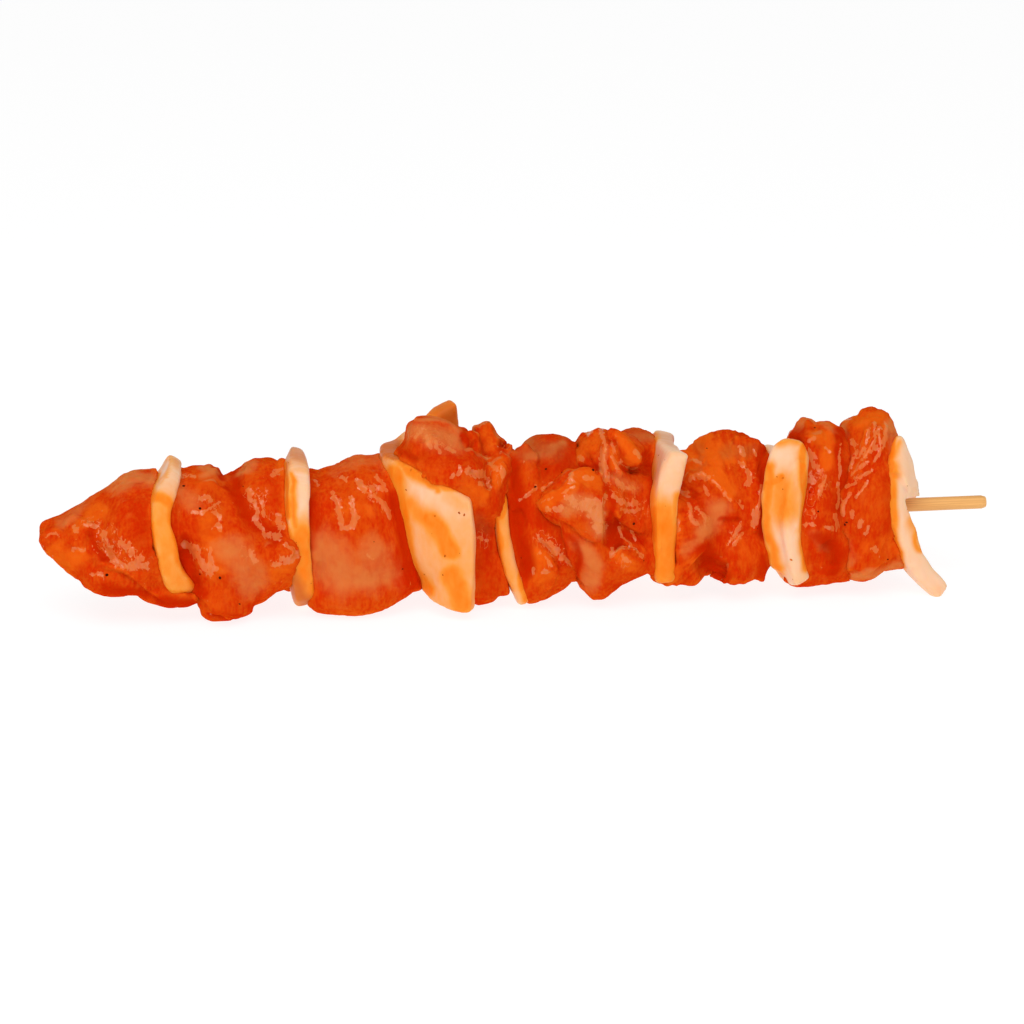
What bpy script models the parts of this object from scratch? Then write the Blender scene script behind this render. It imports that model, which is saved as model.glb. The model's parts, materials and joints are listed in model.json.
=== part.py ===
"""Chicken kebab skewer: raw marinated chicken chunks and onion pieces on a round wooden stick.

The stick runs along X, Z is up, and the origin is on the floor under the middle of the whole length.
Every chunk of chicken is a handful of ellipsoid lobes fused into one skin. Every onion piece is a
thick curved petal, hollow towards +X, with the stick through it. The petals and the chunks next to
them are cut apart with a thin gap, and whatever rests on the floor is flat where it touches it.
"""

import math
from dataclasses import dataclass

import bmesh
import bpy
from mathutils import Matrix, Vector

MM = 0.001

STICK_DIAMETER = 3.0
STICK_LENGTH = 200.0
STICK_END_X = 102.0
STICK_POINT_LENGTH = 12.0
STICK_END_ROUNDING = 0.4
STICK_SIDES = 16
STICK_HEIGHT = 17.0

GAP = 0.3
GROWTH = 0.4
SKIN_VOXEL = 0.9
SKIN_SMOOTHING = 4
SKIN_KEPT_FACES = 0.052
LOBE_SUBDIVISIONS = 3

PETAL_ROWS = 6
PETAL_COLUMNS = 7
CUTTER_SWEEP = 30.0
WIDE = 12.0
SNUG = GAP
TO_LEFT = -1
TO_RIGHT = 1
FLOOR_DEPTH = 20.0
OUTERMOST = 0.9999

CHICKEN_COLOUR = (0.80, 0.13, 0.02, 1.0)
ONION_COLOUR = (0.95, 0.72, 0.45, 1.0)
WOOD_COLOUR = (0.83, 0.43, 0.12, 1.0)


@dataclass(frozen=True)
class Lobe:
    """An ellipsoid of meat: its centre and radii in mm, and how far its +X end is tilted down."""

    centre: tuple
    radii: tuple
    tilt: float = 0.0


@dataclass(frozen=True)
class Chunk:
    """One piece of chicken.

    beside lists the petals that it is pressed against: the petal's name, the side of the petal that
    is cleared of this chunk, and how far past the petal's edges that goes on. yields_to names the
    chunks and petals that it gives way to all round.
    """

    name: str
    lobes: tuple
    beside: tuple
    yields_to: tuple = ()


@dataclass(frozen=True)
class Petal:
    """One curved piece of onion, in mm. x is its middle skin where it bows furthest to -X, at keel.

    near and far are the Y of its two side edges, and near_curl and far_curl how far each edge comes
    forward to +X. waist is the height it curls away from, by curl_up above and curl_down below.
    low and high are its lower and upper edge at the keel, and near_low, near_high, far_low and
    far_high what is added to them at the side edges, which the upper edge reaches by high_power.
    straight_sides is 1 where the side edges run straight down instead of curling with the middle.
    """

    name: str
    x: float
    low: float
    high: float
    thickness: float
    near: float
    near_curl: float
    far: float
    far_curl: float
    keel: float = 0.0
    arc: float = 55.0
    waist: float = 20.0
    curl_up: float = 0.0
    curl_down: float = 0.0
    near_low: float = 0.0
    near_high: float = 0.0
    far_low: float = 0.0
    far_high: float = 0.0
    high_power: float = 2.5
    straight_sides: float = 0.0
    rounding: float = 0.75
    columns: int = PETAL_COLUMNS

    def point(self, across, up, rounding):
        """The middle skin's point: across runs from the near edge -1 to the far edge 1, up from -1 to 1.

        Past those edges the skin goes on, straight across and with the same curl up and down.
        """
        side = across * math.sqrt(1.0 - rounding * up * up / 2.0)
        rise = up * math.sqrt(1.0 - rounding * across * across / 2.0)
        is_far = side > 0.0
        edge, curl = (self.far, self.far_curl) if is_far else (self.near, self.near_curl)
        edge_low, edge_high = (self.far_low, self.far_high) if is_far else (self.near_low, self.near_high)
        arc = math.radians(self.arc)
        angle = min(abs(side), 1.0) * arc
        reach = math.sin(angle) / math.sin(arc)
        forward = (1.0 - math.cos(angle)) / (1.0 - math.cos(arc))
        y = self.keel + (edge - self.keel) * (reach + max(abs(side) - 1.0, 0.0))
        low = self.low + edge_low * reach
        high = self.high + edge_high * reach**self.high_power
        z = low + (high - low) * (rise + 1.0) / 2.0
        bend = self.curl_up * max(z - self.waist, 0.0) ** 2
        bend += self.curl_down * max(self.waist - z, 0.0) ** 2
        x = self.x + curl * forward + bend * (1.0 - self.straight_sides * forward)
        return Vector((x, y, z))


PETALS = (
    Petal(
        "onion_1", x=-78.7, low=4.5, high=32.8, thickness=3.2, near=-13.5, near_curl=1.5,
        far=13.0, far_curl=2.0, waist=21.0, curl_up=0.034, curl_down=0.026, rounding=0.9,
    ),
    Petal(
        "onion_2", x=-49.4, low=1.2, high=34.0, thickness=4.0, near=-13.0, near_curl=1.0,
        far=12.0, far_curl=1.5, curl_up=0.0075, curl_down=0.0065, rounding=0.8,
    ),
    Petal(
        "onion_3", x=-28.7, low=7.0, high=33.9, thickness=3.4, near=-15.0, near_curl=16.4,
        far=15.0, far_curl=16.2, arc=78.0, waist=30.0, curl_down=0.0079, near_low=-5.2,
        near_high=-7.0, far_low=5.0, far_high=6.5, high_power=6.0, straight_sides=1.0,
        rounding=0.12, columns=12,
    ),
    Petal(
        "onion_4", x=-6.2, low=0.5, high=27.2, thickness=2.2, near=-11.5, near_curl=0.3,
        far=9.0, far_curl=1.0, waist=26.0, curl_down=0.0075, rounding=0.5,
    ),
    Petal(
        "onion_5", x=28.7, low=4.5, high=33.4, thickness=3.6, near=-13.0, near_curl=0.8,
        far=12.0, far_curl=3.0, curl_up=0.012, near_high=3.0, rounding=0.4,
    ),
    Petal(
        "onion_6", x=53.3, low=2.8, high=30.0, thickness=3.2, near=-14.0, near_curl=2.6,
        far=13.0, far_curl=4.0, curl_up=0.018, curl_down=0.016, near_high=5.0, far_high=-3.0, rounding=0.5,
    ),
    Petal(
        "onion_7", x=78.2, low=6.5, high=32.5, thickness=3.6, near=-12.5, near_curl=1.6,
        far=11.0, far_curl=10.0, keel=-4.0, waist=21.0, curl_up=0.012, curl_down=0.025,
        near_low=-7.5, near_high=-7.0, far_low=8.0, far_high=-11.0, high_power=2.0, rounding=0.4,
    ),
)

CHUNKS = (
    Chunk(
        "chicken_1",
        (
            Lobe((-80.5, 0.0, 17.8), (11.0, 14.5, 12.9)),
            Lobe((-87.5, 0.0, 18.0), (8.0, 9.5, 8.7)),
            Lobe((-91.5, -1.0, 16.2), (8.5, 10.0, 8.2)),
            Lobe((-98.4, -2.0, 17.8), (3.8, 6.0, 4.5)),
            Lobe((-87.0, -6.0, 12.0), (8.0, 8.0, 6.0)),
            Lobe((-75.5, -4.0, 6.6), (7.5, 8.0, 4.2), 8.0),
        ),
        beside=(("onion_1", TO_RIGHT, SNUG),),
    ),
    Chunk(
        "chicken_2",
        (
            Lobe((-61.5, 0.0, 14.5), (13.0, 14.0, 14.3)),
            Lobe((-69.5, 0.0, 22.0), (8.0, 12.0, 9.5)),
            Lobe((-55.0, 1.0, 22.0), (8.5, 10.0, 10.2)),
            Lobe((-52.0, -9.0, 15.5), (5.2, 6.5, 6.5)),
            Lobe((-65.0, -7.0, 4.8), (6.5, 7.0, 5.0)),
            Lobe((-53.5, 4.0, 8.0), (5.0, 7.0, 6.0)),
        ),
        beside=(("onion_1", TO_LEFT, WIDE), ("onion_2", TO_RIGHT, SNUG)),
    ),
    Chunk(
        "chicken_3",
        (
            Lobe((-35.8, 0.0, 15.5), (12.5, 14.5, 15.8)),
            Lobe((-33.5, 0.0, 24.0), (9.0, 11.0, 8.5)),
            Lobe((-41.0, 0.0, 21.0), (6.5, 11.0, 9.0)),
            Lobe((-36.5, -6.0, 6.3), (11.5, 8.0, 7.0)),
            Lobe((-28.5, 0.0, 13.5), (7.0, 10.0, 11.0)),
            Lobe((-36.0, 6.5, 6.3), (9.0, 7.0, 6.9)),
        ),
        beside=(("onion_2", TO_LEFT, WIDE), ("onion_3", TO_RIGHT, WIDE)),
    ),
    Chunk(
        "chicken_4",
        (
            Lobe((-14.0, 0.0, 15.5), (9.0, 12.0, 15.8)),
            Lobe((-20.0, -4.0, 34.0), (8.2, 8.0, 7.6)),
            Lobe((-16.5, -9.5, 31.8), (8.0, 6.5, 4.6)),
            Lobe((-13.5, -4.0, 27.5), (9.5, 8.0, 6.5)),
            Lobe((-7.0, 1.0, 33.5), (4.2, 5.5, 5.5)),
            Lobe((-4.5, -4.0, 29.0), (4.0, 7.0, 6.5)),
            Lobe((-9.5, -8.5, 25.0), (5.0, 6.0, 5.5)),
            Lobe((-9.5, -4.0, 7.0), (5.5, 8.0, 7.2)),
        ),
        beside=(("onion_3", TO_LEFT, SNUG), ("onion_4", TO_RIGHT, SNUG)),
        yields_to=("onion_3",),
    ),
    Chunk(
        "chicken_5",
        (
            Lobe((4.5, 0.0, 16.5), (10.5, 14.0, 16.0)),
            Lobe((5.8, 1.0, 27.0), (8.5, 11.0, 8.5)),
            Lobe((0.5, -4.0, 6.0), (7.0, 8.0, 6.0)),
        ),
        beside=(("onion_4", TO_LEFT, WIDE),),
        yields_to=("chicken_4", "chicken_6"),
    ),
    Chunk(
        "chicken_6",
        (
            Lobe((19.5, 2.0, 17.0), (11.5, 13.0, 16.0)),
            Lobe((16.5, -3.0, 30.5), (6.0, 8.0, 7.0)),
            Lobe((20.5, -7.0, 34.0), (5.0, 4.5, 3.8), 25.0),
            Lobe((25.0, 4.0, 28.5), (6.0, 7.0, 7.0)),
            Lobe((11.0, -12.0, 24.2), (9.5, 4.5, 5.5)),
            Lobe((15.0, -9.0, 11.0), (5.0, 6.0, 9.8)),
            Lobe((21.5, -8.0, 10.5), (6.5, 6.0, 5.0)),
        ),
        beside=(("onion_5", TO_RIGHT, WIDE),),
    ),
    Chunk(
        "chicken_7",
        (
            Lobe((42.5, 2.0, 18.5), (11.0, 13.0, 14.0)),
            Lobe((44.5, 3.0, 27.0), (9.0, 7.0, 7.2)),
            Lobe((34.5, -7.5, 14.0), (6.0, 7.0, 10.0)),
            Lobe((45.0, -7.0, 9.5), (7.5, 7.0, 6.5)),
            Lobe((48.5, 0.0, 19.5), (5.5, 10.5, 12.0)),
        ),
        beside=(("onion_5", TO_LEFT, WIDE), ("onion_6", TO_RIGHT, WIDE)),
    ),
    Chunk(
        "chicken_8",
        (
            Lobe((61.5, 0.0, 16.5), (8.5, 14.0, 15.5)),
            Lobe((58.5, 0.0, 29.0), (8.0, 9.0, 9.0)),
            Lobe((66.0, 0.0, 27.5), (5.5, 10.0, 8.5)),
            Lobe((65.5, -5.0, 9.2), (7.0, 8.0, 7.8)),
            Lobe((62.5, 6.5, 6.6), (7.0, 7.0, 7.3)),
        ),
        beside=(("onion_6", TO_LEFT, WIDE),),
    ),
    Chunk(
        "chicken_9",
        (
            Lobe((74.5, 0.0, 18.5), (9.5, 14.0, 16.0)),
            Lobe((75.2, 0.0, 29.5), (7.0, 10.0, 9.0)),
            Lobe((79.5, -4.0, 11.0), (6.0, 8.0, 7.0)),
            Lobe((73.0, -6.0, 9.5), (6.0, 8.0, 7.0)),
        ),
        beside=(("onion_7", TO_RIGHT, SNUG),),
        yields_to=("chicken_8",),
    ),
)


def clear_scene():
    """Removes whatever the scene holds."""
    for obj in list(bpy.data.objects):
        bpy.data.objects.remove(obj)


def new_collection(name):
    """Returns a new collection, linked to the scene."""
    collection = bpy.data.collections.new(name)
    bpy.context.scene.collection.children.link(collection)
    return collection


def new_material(name, colour, roughness):
    """Returns a Principled material."""
    material = bpy.data.materials.new(name)
    material.use_nodes = True
    surface = material.node_tree.nodes["Principled BSDF"]
    surface.inputs["Base Color"].default_value = colour
    surface.inputs["Roughness"].default_value = roughness
    surface.inputs["Metallic"].default_value = 0.0
    material.diffuse_color = colour
    return material


def add_object(name, mesh, collection, material=None):
    """Returns a new object of this mesh in this collection."""
    obj = bpy.data.objects.new(name, mesh)
    collection.objects.link(obj)
    if material:
        mesh.materials.append(material)
    return obj


def add_cutter(name, mesh, cutters):
    """Returns a new object that only cuts others: it isn't rendered and shows as wires."""
    cutter = add_object(name, mesh, cutters)
    cutter.hide_render = True
    cutter.display_type = "WIRE"
    return cutter


def to_mesh(name, shape):
    """Returns the bmesh, drawn in mm, as a mesh in metres."""
    bmesh.ops.transform(shape, matrix=Matrix.Scale(MM, 4), verts=shape.verts)
    mesh = bpy.data.meshes.new(name)
    shape.to_mesh(mesh)
    shape.free()
    return mesh


def evaluated_mesh(obj):
    """Returns a new mesh of the object with its modifiers applied."""
    graph = bpy.context.evaluated_depsgraph_get()
    return bpy.data.meshes.new_from_object(obj.evaluated_get(graph))


def largest_body(mesh):
    """Removes every loose crumb that a cut left beside the mesh's largest body."""
    shape = bmesh.new()
    shape.from_mesh(mesh)
    unseen = set(shape.verts)
    bodies = []
    while unseen:
        front = [unseen.pop()]
        body = set(front)
        while front:
            vert = front.pop()
            fresh = {edge.other_vert(vert) for edge in vert.link_edges} - body
            body |= fresh
            front.extend(fresh)
        unseen -= body
        bodies.append(body)
    bodies.sort(key=len)
    for crumb in bodies[:-1]:
        bmesh.ops.delete(shape, geom=list(crumb), context="VERTS")
    shape.to_mesh(mesh)
    shape.free()
    return mesh


def grid_place(value, segments, border, edge):
    """Returns where a grid's line goes, from its place between -1 and 1 on a grid with borders.

    The outermost lines go to edge, and the others keep the spacing that they have without borders.
    """
    if abs(value) > OUTERMOST:
        return math.copysign(edge, value)
    return value * (segments + border) / segments


def petal_sheet(petal, overhang=0.0, offset=0.0):
    """Returns the petal's middle skin as an open sheet in mm.

    overhang carries the sheet past its edges, and offset moves it along +X where it faces X. A wide
    overhang is a border of its own round the sheet, whose corners then aren't rounded.
    """
    wide = overhang == WIDE
    border = 2 if wide else 0
    across_edge = 1.0 + overhang / (abs(petal.near - petal.far) / 2.0)
    up_edge = 1.0 + overhang / ((petal.high - petal.low) / 2.0)
    rounding = 0.0 if wide else petal.rounding
    sheet = bmesh.new()
    columns = petal.columns
    bmesh.ops.create_grid(sheet, x_segments=columns + border, y_segments=PETAL_ROWS + border, size=1.0)
    for vert in sheet.verts:
        across = grid_place(vert.co.x, columns, border, across_edge)
        up = grid_place(vert.co.y, PETAL_ROWS, border, up_edge)
        vert.co = petal.point(across, up, rounding)
    bmesh.ops.recalc_face_normals(sheet, faces=sheet.faces)
    sheet.normal_update()
    facing = sum((face.normal.x * face.calc_area() for face in sheet.faces), 0.0)
    if facing < 0.0:
        bmesh.ops.reverse_faces(sheet, faces=sheet.faces)
        sheet.normal_update()
    normals = [vert.normal.copy() for vert in sheet.verts]
    for vert, normal in zip(sheet.verts, normals):
        vert.co += normal * offset
    return sheet


def swept_cutter(petal, side, overhang, cutters):
    """Returns a solid that starts a gap past one face of the petal and fills all beyond the other.

    side is 1 for a solid that goes on to +X and cuts the chunk at -X, and -1 for the opposite.
    """
    sheet = petal_sheet(petal, overhang, -side * (petal.thickness / 2.0 + GAP))
    grown = bmesh.ops.extrude_face_region(sheet, geom=list(sheet.faces))["geom"]
    moved = [item for item in grown if isinstance(item, bmesh.types.BMVert)]
    bmesh.ops.translate(sheet, vec=Vector((side * CUTTER_SWEEP, 0.0, 0.0)), verts=moved)
    bmesh.ops.recalc_face_normals(sheet, faces=sheet.faces)
    name = f"{petal.name}_{'right' if side > 0 else 'left'}_cutter"
    return add_cutter(name, to_mesh(name, sheet), cutters)


def cut(obj, cutter):
    """Cuts one object from another with a Boolean."""
    boolean = obj.modifiers.new(cutter.name, "BOOLEAN")
    boolean.operation = "DIFFERENCE"
    boolean.solver = "EXACT"
    boolean.object = cutter


def build_stick(parts, wood):
    """Turns the stick, with its point at -X and its blunt end at +X."""
    radius = STICK_DIAMETER / 2.0
    tip = -STICK_LENGTH
    profile = (
        (0.0, 0.0),
        (radius - STICK_END_ROUNDING, 0.0),
        (radius, -STICK_END_ROUNDING),
        (radius, tip + STICK_POINT_LENGTH),
        (0.0, tip),
    )
    outline = bmesh.new()
    verts = [outline.verts.new((distance, 0.0, height)) for distance, height in profile]
    for start, end in zip(verts, verts[1:]):
        outline.edges.new((start, end))
    stick = add_object("skewer", to_mesh("skewer", outline), parts, wood)
    screw = stick.modifiers.new("Turn", "SCREW")
    screw.axis = "Z"
    screw.steps = STICK_SIDES
    screw.render_steps = STICK_SIDES
    screw.use_merge_vertices = True
    screw.merge_threshold = 0.00001
    screw.use_smooth_shade = True
    stick.rotation_euler = (0.0, math.radians(90.0), 0.0)
    stick.location = (STICK_END_X * MM, 0.0, STICK_HEIGHT * MM)
    return stick


def build_bore_cutter(cutters):
    """Returns a rod a gap wider than the stick, for the holes that it runs in."""
    bore = bmesh.new()
    length = STICK_LENGTH + 2.0 * GAP
    middle = STICK_END_X - STICK_LENGTH / 2.0
    place = Matrix.Translation((middle, 0.0, STICK_HEIGHT)) @ Matrix.Rotation(math.radians(90.0), 4, "Y")
    radius = STICK_DIAMETER / 2.0 + GAP
    bmesh.ops.create_cone(
        bore, cap_ends=True, segments=STICK_SIDES, radius1=radius, radius2=radius, depth=length, matrix=place
    )
    return add_cutter("bore_cutter", to_mesh("bore_cutter", bore), cutters)


def build_floor_cutter(cutters):
    """Returns a slab whose top is the floor."""
    slab = bmesh.new()
    size = Matrix.Diagonal((STICK_LENGTH * 1.5, STICK_LENGTH / 2.0, FLOOR_DEPTH, 1.0))
    bmesh.ops.create_cube(slab, size=1.0, matrix=Matrix.Translation((0.0, 0.0, -FLOOR_DEPTH / 2.0)) @ size)
    return add_cutter("floor_cutter", to_mesh("floor_cutter", slab), cutters)


def thick_petal(petal, name, growth, cutters):
    """Returns the petal's middle skin thickened both ways, and grown all round by growth."""
    thick = add_cutter(name, to_mesh(name, petal_sheet(petal, growth)), cutters)
    solidify = thick.modifiers.new("Thickness", "SOLIDIFY")
    solidify.thickness = (petal.thickness + 2.0 * growth) * MM
    solidify.offset = 0.0
    return thick


def build_petal(petal, parts, cutters, onion, shared_cutters):
    """Builds one onion piece, with the stick's hole and flat where it meets the floor."""
    blank = thick_petal(petal, f"{petal.name}_blank", 0.0, cutters)
    for cutter in shared_cutters:
        cut(blank, cutter)
    mesh = largest_body(evaluated_mesh(blank))
    mesh.name = petal.name
    bpy.data.objects.remove(blank)
    piece = add_object(petal.name, mesh, parts, onion)
    mesh.shade_smooth()
    return piece


def build_skin(chunk, cutters):
    """Fuses a chunk's lobes into one closed skin, before anything is cut from it."""
    body = bmesh.new()
    for lobe in chunk.lobes:
        turn = Matrix.Rotation(math.radians(lobe.tilt), 4, "Y")
        place = Matrix.Translation(lobe.centre) @ turn @ Matrix.Diagonal((*lobe.radii, 1.0))
        bmesh.ops.create_icosphere(body, subdivisions=LOBE_SUBDIVISIONS, radius=1.0, matrix=place)
    name = f"{chunk.name}_skin"
    skin = add_cutter(name, to_mesh(name, body), cutters)
    fuse = skin.modifiers.new("Fuse", "REMESH")
    fuse.mode = "VOXEL"
    fuse.voxel_size = SKIN_VOXEL * MM
    smooth = skin.modifiers.new("Smooth", "SMOOTH")
    smooth.factor = 0.5
    smooth.iterations = SKIN_SMOOTHING
    thin = skin.modifiers.new("Thin", "DECIMATE")
    thin.ratio = SKIN_KEPT_FACES
    mesh = evaluated_mesh(skin)
    skin.modifiers.clear()
    skin.data = mesh
    return skin


def grown_skin(skin, cutters):
    """Returns a chunk's skin pushed out, to cut the neighbour that yields to it."""
    name = skin.name.replace("_skin", "_grown")
    grown = add_cutter(name, skin.data.copy(), cutters)
    push = grown.modifiers.new("Gap", "DISPLACE")
    push.mid_level = 0.0
    push.strength = GROWTH * MM
    return grown


def build_chunk(chunk, skins, sweeps, grown, parts, chicken, shared_cutters):
    """Cuts a chunk's skin by the petals and chunks beside it, the stick's bore and the floor."""
    blank = skins[chunk.name]
    for beside in chunk.beside:
        cut(blank, sweeps[beside])
    for cutter in [grown[name] for name in chunk.yields_to] + shared_cutters:
        cut(blank, cutter)
    mesh = largest_body(evaluated_mesh(blank))
    mesh.name = chunk.name
    blank.modifiers.clear()
    piece = add_object(chunk.name, mesh, parts, chicken)
    mesh.shade_smooth()
    return piece


def main():
    """Builds the skewer."""
    clear_scene()
    parts = new_collection("chicken_kebab_skewer")
    cutters = new_collection("cutters")
    chicken = new_material("Marinated chicken", CHICKEN_COLOUR, 0.25)
    onion = new_material("Onion", ONION_COLOUR, 0.35)
    wood = new_material("Bamboo", WOOD_COLOUR, 0.6)
    build_stick(parts, wood)
    bore = build_bore_cutter(cutters)
    floor = build_floor_cutter(cutters)
    shared = [bore, floor]
    for petal in PETALS:
        build_petal(petal, parts, cutters, onion, shared)
    petals = {petal.name: petal for petal in PETALS}
    places = sorted({place for chunk in CHUNKS for place in chunk.beside})
    sweeps = {place: swept_cutter(petals[place[0]], place[1], place[2], cutters) for place in places}
    skins = {chunk.name: build_skin(chunk, cutters) for chunk in CHUNKS}
    grown = {}
    for name in sorted({name for chunk in CHUNKS for name in chunk.yields_to}):
        if name in petals:
            grown[name] = thick_petal(petals[name], f"{name}_grown", GROWTH, cutters)
        else:
            grown[name] = grown_skin(skins[name], cutters)
    for chunk in CHUNKS:
        build_chunk(chunk, skins, sweeps, grown, parts, chicken, shared)


if __name__ == "__main__":
    main()
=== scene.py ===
"""Chicken kebab skewer: the finish of raw marinated chicken, onion pieces and a bamboo stick.

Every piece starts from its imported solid. The solid is copied, given its small knobs and flaps, fused
into a fine skin, and worked with folds, grooves, muscle fibres and wrinkles. Places are in mm, in the
row's frame. A place on the shown side is (x, z) on the upright plane through the stick, seen along a
line of sight from the camera, and the same work is repeated, turned round, on the far side.
"""

import functools
import json
import logging
import math
from dataclasses import dataclass, field
from enum import Enum

import bmesh
import bpy
import numpy as np
from mathutils import Euler, Matrix, Vector
from mathutils.bvhtree import BVHTree
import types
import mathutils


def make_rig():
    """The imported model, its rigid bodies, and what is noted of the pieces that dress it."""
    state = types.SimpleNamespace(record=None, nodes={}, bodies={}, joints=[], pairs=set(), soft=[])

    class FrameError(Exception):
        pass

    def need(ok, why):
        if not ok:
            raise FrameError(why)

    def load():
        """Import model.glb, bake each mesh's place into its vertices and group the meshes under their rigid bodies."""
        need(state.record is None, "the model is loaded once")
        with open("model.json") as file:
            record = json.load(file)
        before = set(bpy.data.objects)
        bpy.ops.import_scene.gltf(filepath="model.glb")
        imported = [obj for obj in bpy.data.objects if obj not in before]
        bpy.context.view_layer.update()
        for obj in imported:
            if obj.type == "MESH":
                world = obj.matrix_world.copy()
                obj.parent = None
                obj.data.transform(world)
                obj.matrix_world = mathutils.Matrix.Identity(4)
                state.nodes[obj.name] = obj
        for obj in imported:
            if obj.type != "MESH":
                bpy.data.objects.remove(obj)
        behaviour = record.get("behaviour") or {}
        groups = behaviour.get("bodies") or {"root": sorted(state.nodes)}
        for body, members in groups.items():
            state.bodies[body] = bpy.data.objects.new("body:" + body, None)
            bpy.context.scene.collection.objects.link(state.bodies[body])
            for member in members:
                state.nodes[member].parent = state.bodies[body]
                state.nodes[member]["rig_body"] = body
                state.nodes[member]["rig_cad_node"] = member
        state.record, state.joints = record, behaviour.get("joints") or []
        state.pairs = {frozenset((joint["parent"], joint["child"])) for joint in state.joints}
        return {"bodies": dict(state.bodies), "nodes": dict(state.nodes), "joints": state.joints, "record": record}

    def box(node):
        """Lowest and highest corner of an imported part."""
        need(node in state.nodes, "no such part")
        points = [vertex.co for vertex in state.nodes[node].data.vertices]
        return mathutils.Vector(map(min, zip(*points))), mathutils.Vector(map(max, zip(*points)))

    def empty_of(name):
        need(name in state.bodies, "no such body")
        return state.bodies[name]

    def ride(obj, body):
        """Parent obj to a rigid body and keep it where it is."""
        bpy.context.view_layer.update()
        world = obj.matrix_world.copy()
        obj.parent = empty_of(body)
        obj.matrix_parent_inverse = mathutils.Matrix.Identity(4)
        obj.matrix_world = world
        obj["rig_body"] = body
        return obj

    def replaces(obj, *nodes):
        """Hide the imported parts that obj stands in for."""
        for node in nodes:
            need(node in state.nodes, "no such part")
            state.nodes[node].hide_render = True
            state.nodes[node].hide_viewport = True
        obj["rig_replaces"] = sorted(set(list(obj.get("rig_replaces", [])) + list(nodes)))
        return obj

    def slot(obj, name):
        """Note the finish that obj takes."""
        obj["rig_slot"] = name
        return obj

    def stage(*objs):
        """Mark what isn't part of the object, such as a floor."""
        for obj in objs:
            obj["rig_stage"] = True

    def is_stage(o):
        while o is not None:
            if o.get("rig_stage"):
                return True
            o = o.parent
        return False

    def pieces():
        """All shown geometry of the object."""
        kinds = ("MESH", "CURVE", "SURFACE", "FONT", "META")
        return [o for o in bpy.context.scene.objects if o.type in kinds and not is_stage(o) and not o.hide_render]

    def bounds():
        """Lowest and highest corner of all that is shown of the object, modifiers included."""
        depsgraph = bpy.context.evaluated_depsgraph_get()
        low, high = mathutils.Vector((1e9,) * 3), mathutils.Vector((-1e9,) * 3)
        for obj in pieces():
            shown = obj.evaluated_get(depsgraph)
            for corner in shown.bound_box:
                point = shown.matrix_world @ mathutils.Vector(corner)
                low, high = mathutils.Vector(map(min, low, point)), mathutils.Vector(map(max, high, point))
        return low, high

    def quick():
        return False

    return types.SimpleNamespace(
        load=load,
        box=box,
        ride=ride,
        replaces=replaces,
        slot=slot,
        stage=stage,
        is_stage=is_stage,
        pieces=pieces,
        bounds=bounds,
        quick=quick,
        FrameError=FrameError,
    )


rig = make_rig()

LOG = logging.getLogger("kebab")
MM = 0.001
SIZE_FILE = "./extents.json"

Place = tuple[float, float]
Colour = tuple[float, float, float, float]


@dataclass(frozen=True)
class Sight:
    """The camera's place and the lines of sight from it, in mm and degrees."""

    target: tuple[float, float, float] = (-2.3, 0.0, 18.84)
    distance: float = 609.56
    elevation: float = 18.0
    azimuth: float = -7.1
    lens: float = 100.0
    sensor: float = 36.0

    def back(self) -> np.ndarray:
        """Returns the unit vector from the target to the camera."""
        turn, rise = math.radians(self.azimuth), math.radians(self.elevation)
        return np.array(
            (math.sin(turn) * math.cos(rise), -math.cos(turn) * math.cos(rise), math.sin(rise))
        )

    def eye(self) -> np.ndarray:
        """Returns the camera's place."""
        return np.array(self.target) + self.back() * self.distance

    def chart(self, points: np.ndarray, far: bool) -> np.ndarray:
        """Carries points along their lines of sight to the upright plane through the stick.

        Args:
            points: rows of x, y, z.
            far: whether they are seen from the far side, by a camera mirrored in that plane.

        Returns:
            Rows of x, z on the plane.
        """
        eye = self.eye()
        seen = points * (1.0, -1.0, 1.0) if far else points
        share = eye[1] / (eye[1] - seen[:, 1])
        return (eye + (seen - eye) * share[:, None])[:, (0, 2)]

    def facing(self, points: np.ndarray, normals: np.ndarray, far: bool) -> np.ndarray:
        """Returns from 0 to 1 how far each point of a skin is turned to the near or the far side."""
        eye = self.eye() * ((1.0, -1.0, 1.0) if far else (1.0, 1.0, 1.0))
        line = eye - points
        line /= np.linalg.norm(line, axis=1)[:, None]
        return smooth_step((normals * line).sum(axis=1), -0.2, 0.08)

    def ray(self, place: Place) -> tuple[Vector, Vector]:
        """Returns the line of sight through a place on the plane, as its start and direction."""
        eye = Vector(self.eye())
        return eye, (Vector((place[0], 0.0, place[1])) - eye).normalized()


SIGHT = Sight()


def smooth_step(values: np.ndarray, low: float, high: float) -> np.ndarray:
    """Returns values eased from 0 at low to 1 at high."""
    share = np.clip((values - low) / (high - low), 0.0, 1.0)
    return share * share * (3.0 - 2.0 * share)


def blurred(chart: np.ndarray, points: np.ndarray, noise: "Noise", size: float, shift: float) -> np.ndarray:
    """Moves chart places about at random, so that what is laid there gets an uneven edge.

    Args:
        chart: rows of x, z.
        points: the skin's points that they stand for.
        noise: the random values.
        size: the size of the unevenness in mm.
        shift: the farthest that a place moves, in mm.
    """
    moved = np.stack([noise.at(points / size + start) for start in (13.0, 71.0)], axis=1)
    finer = np.stack([noise.at(points * 2.3 / size + start) for start in (29.0, 93.0)], axis=1)
    return chart + shift * (moved + 0.3 * finer)


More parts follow.
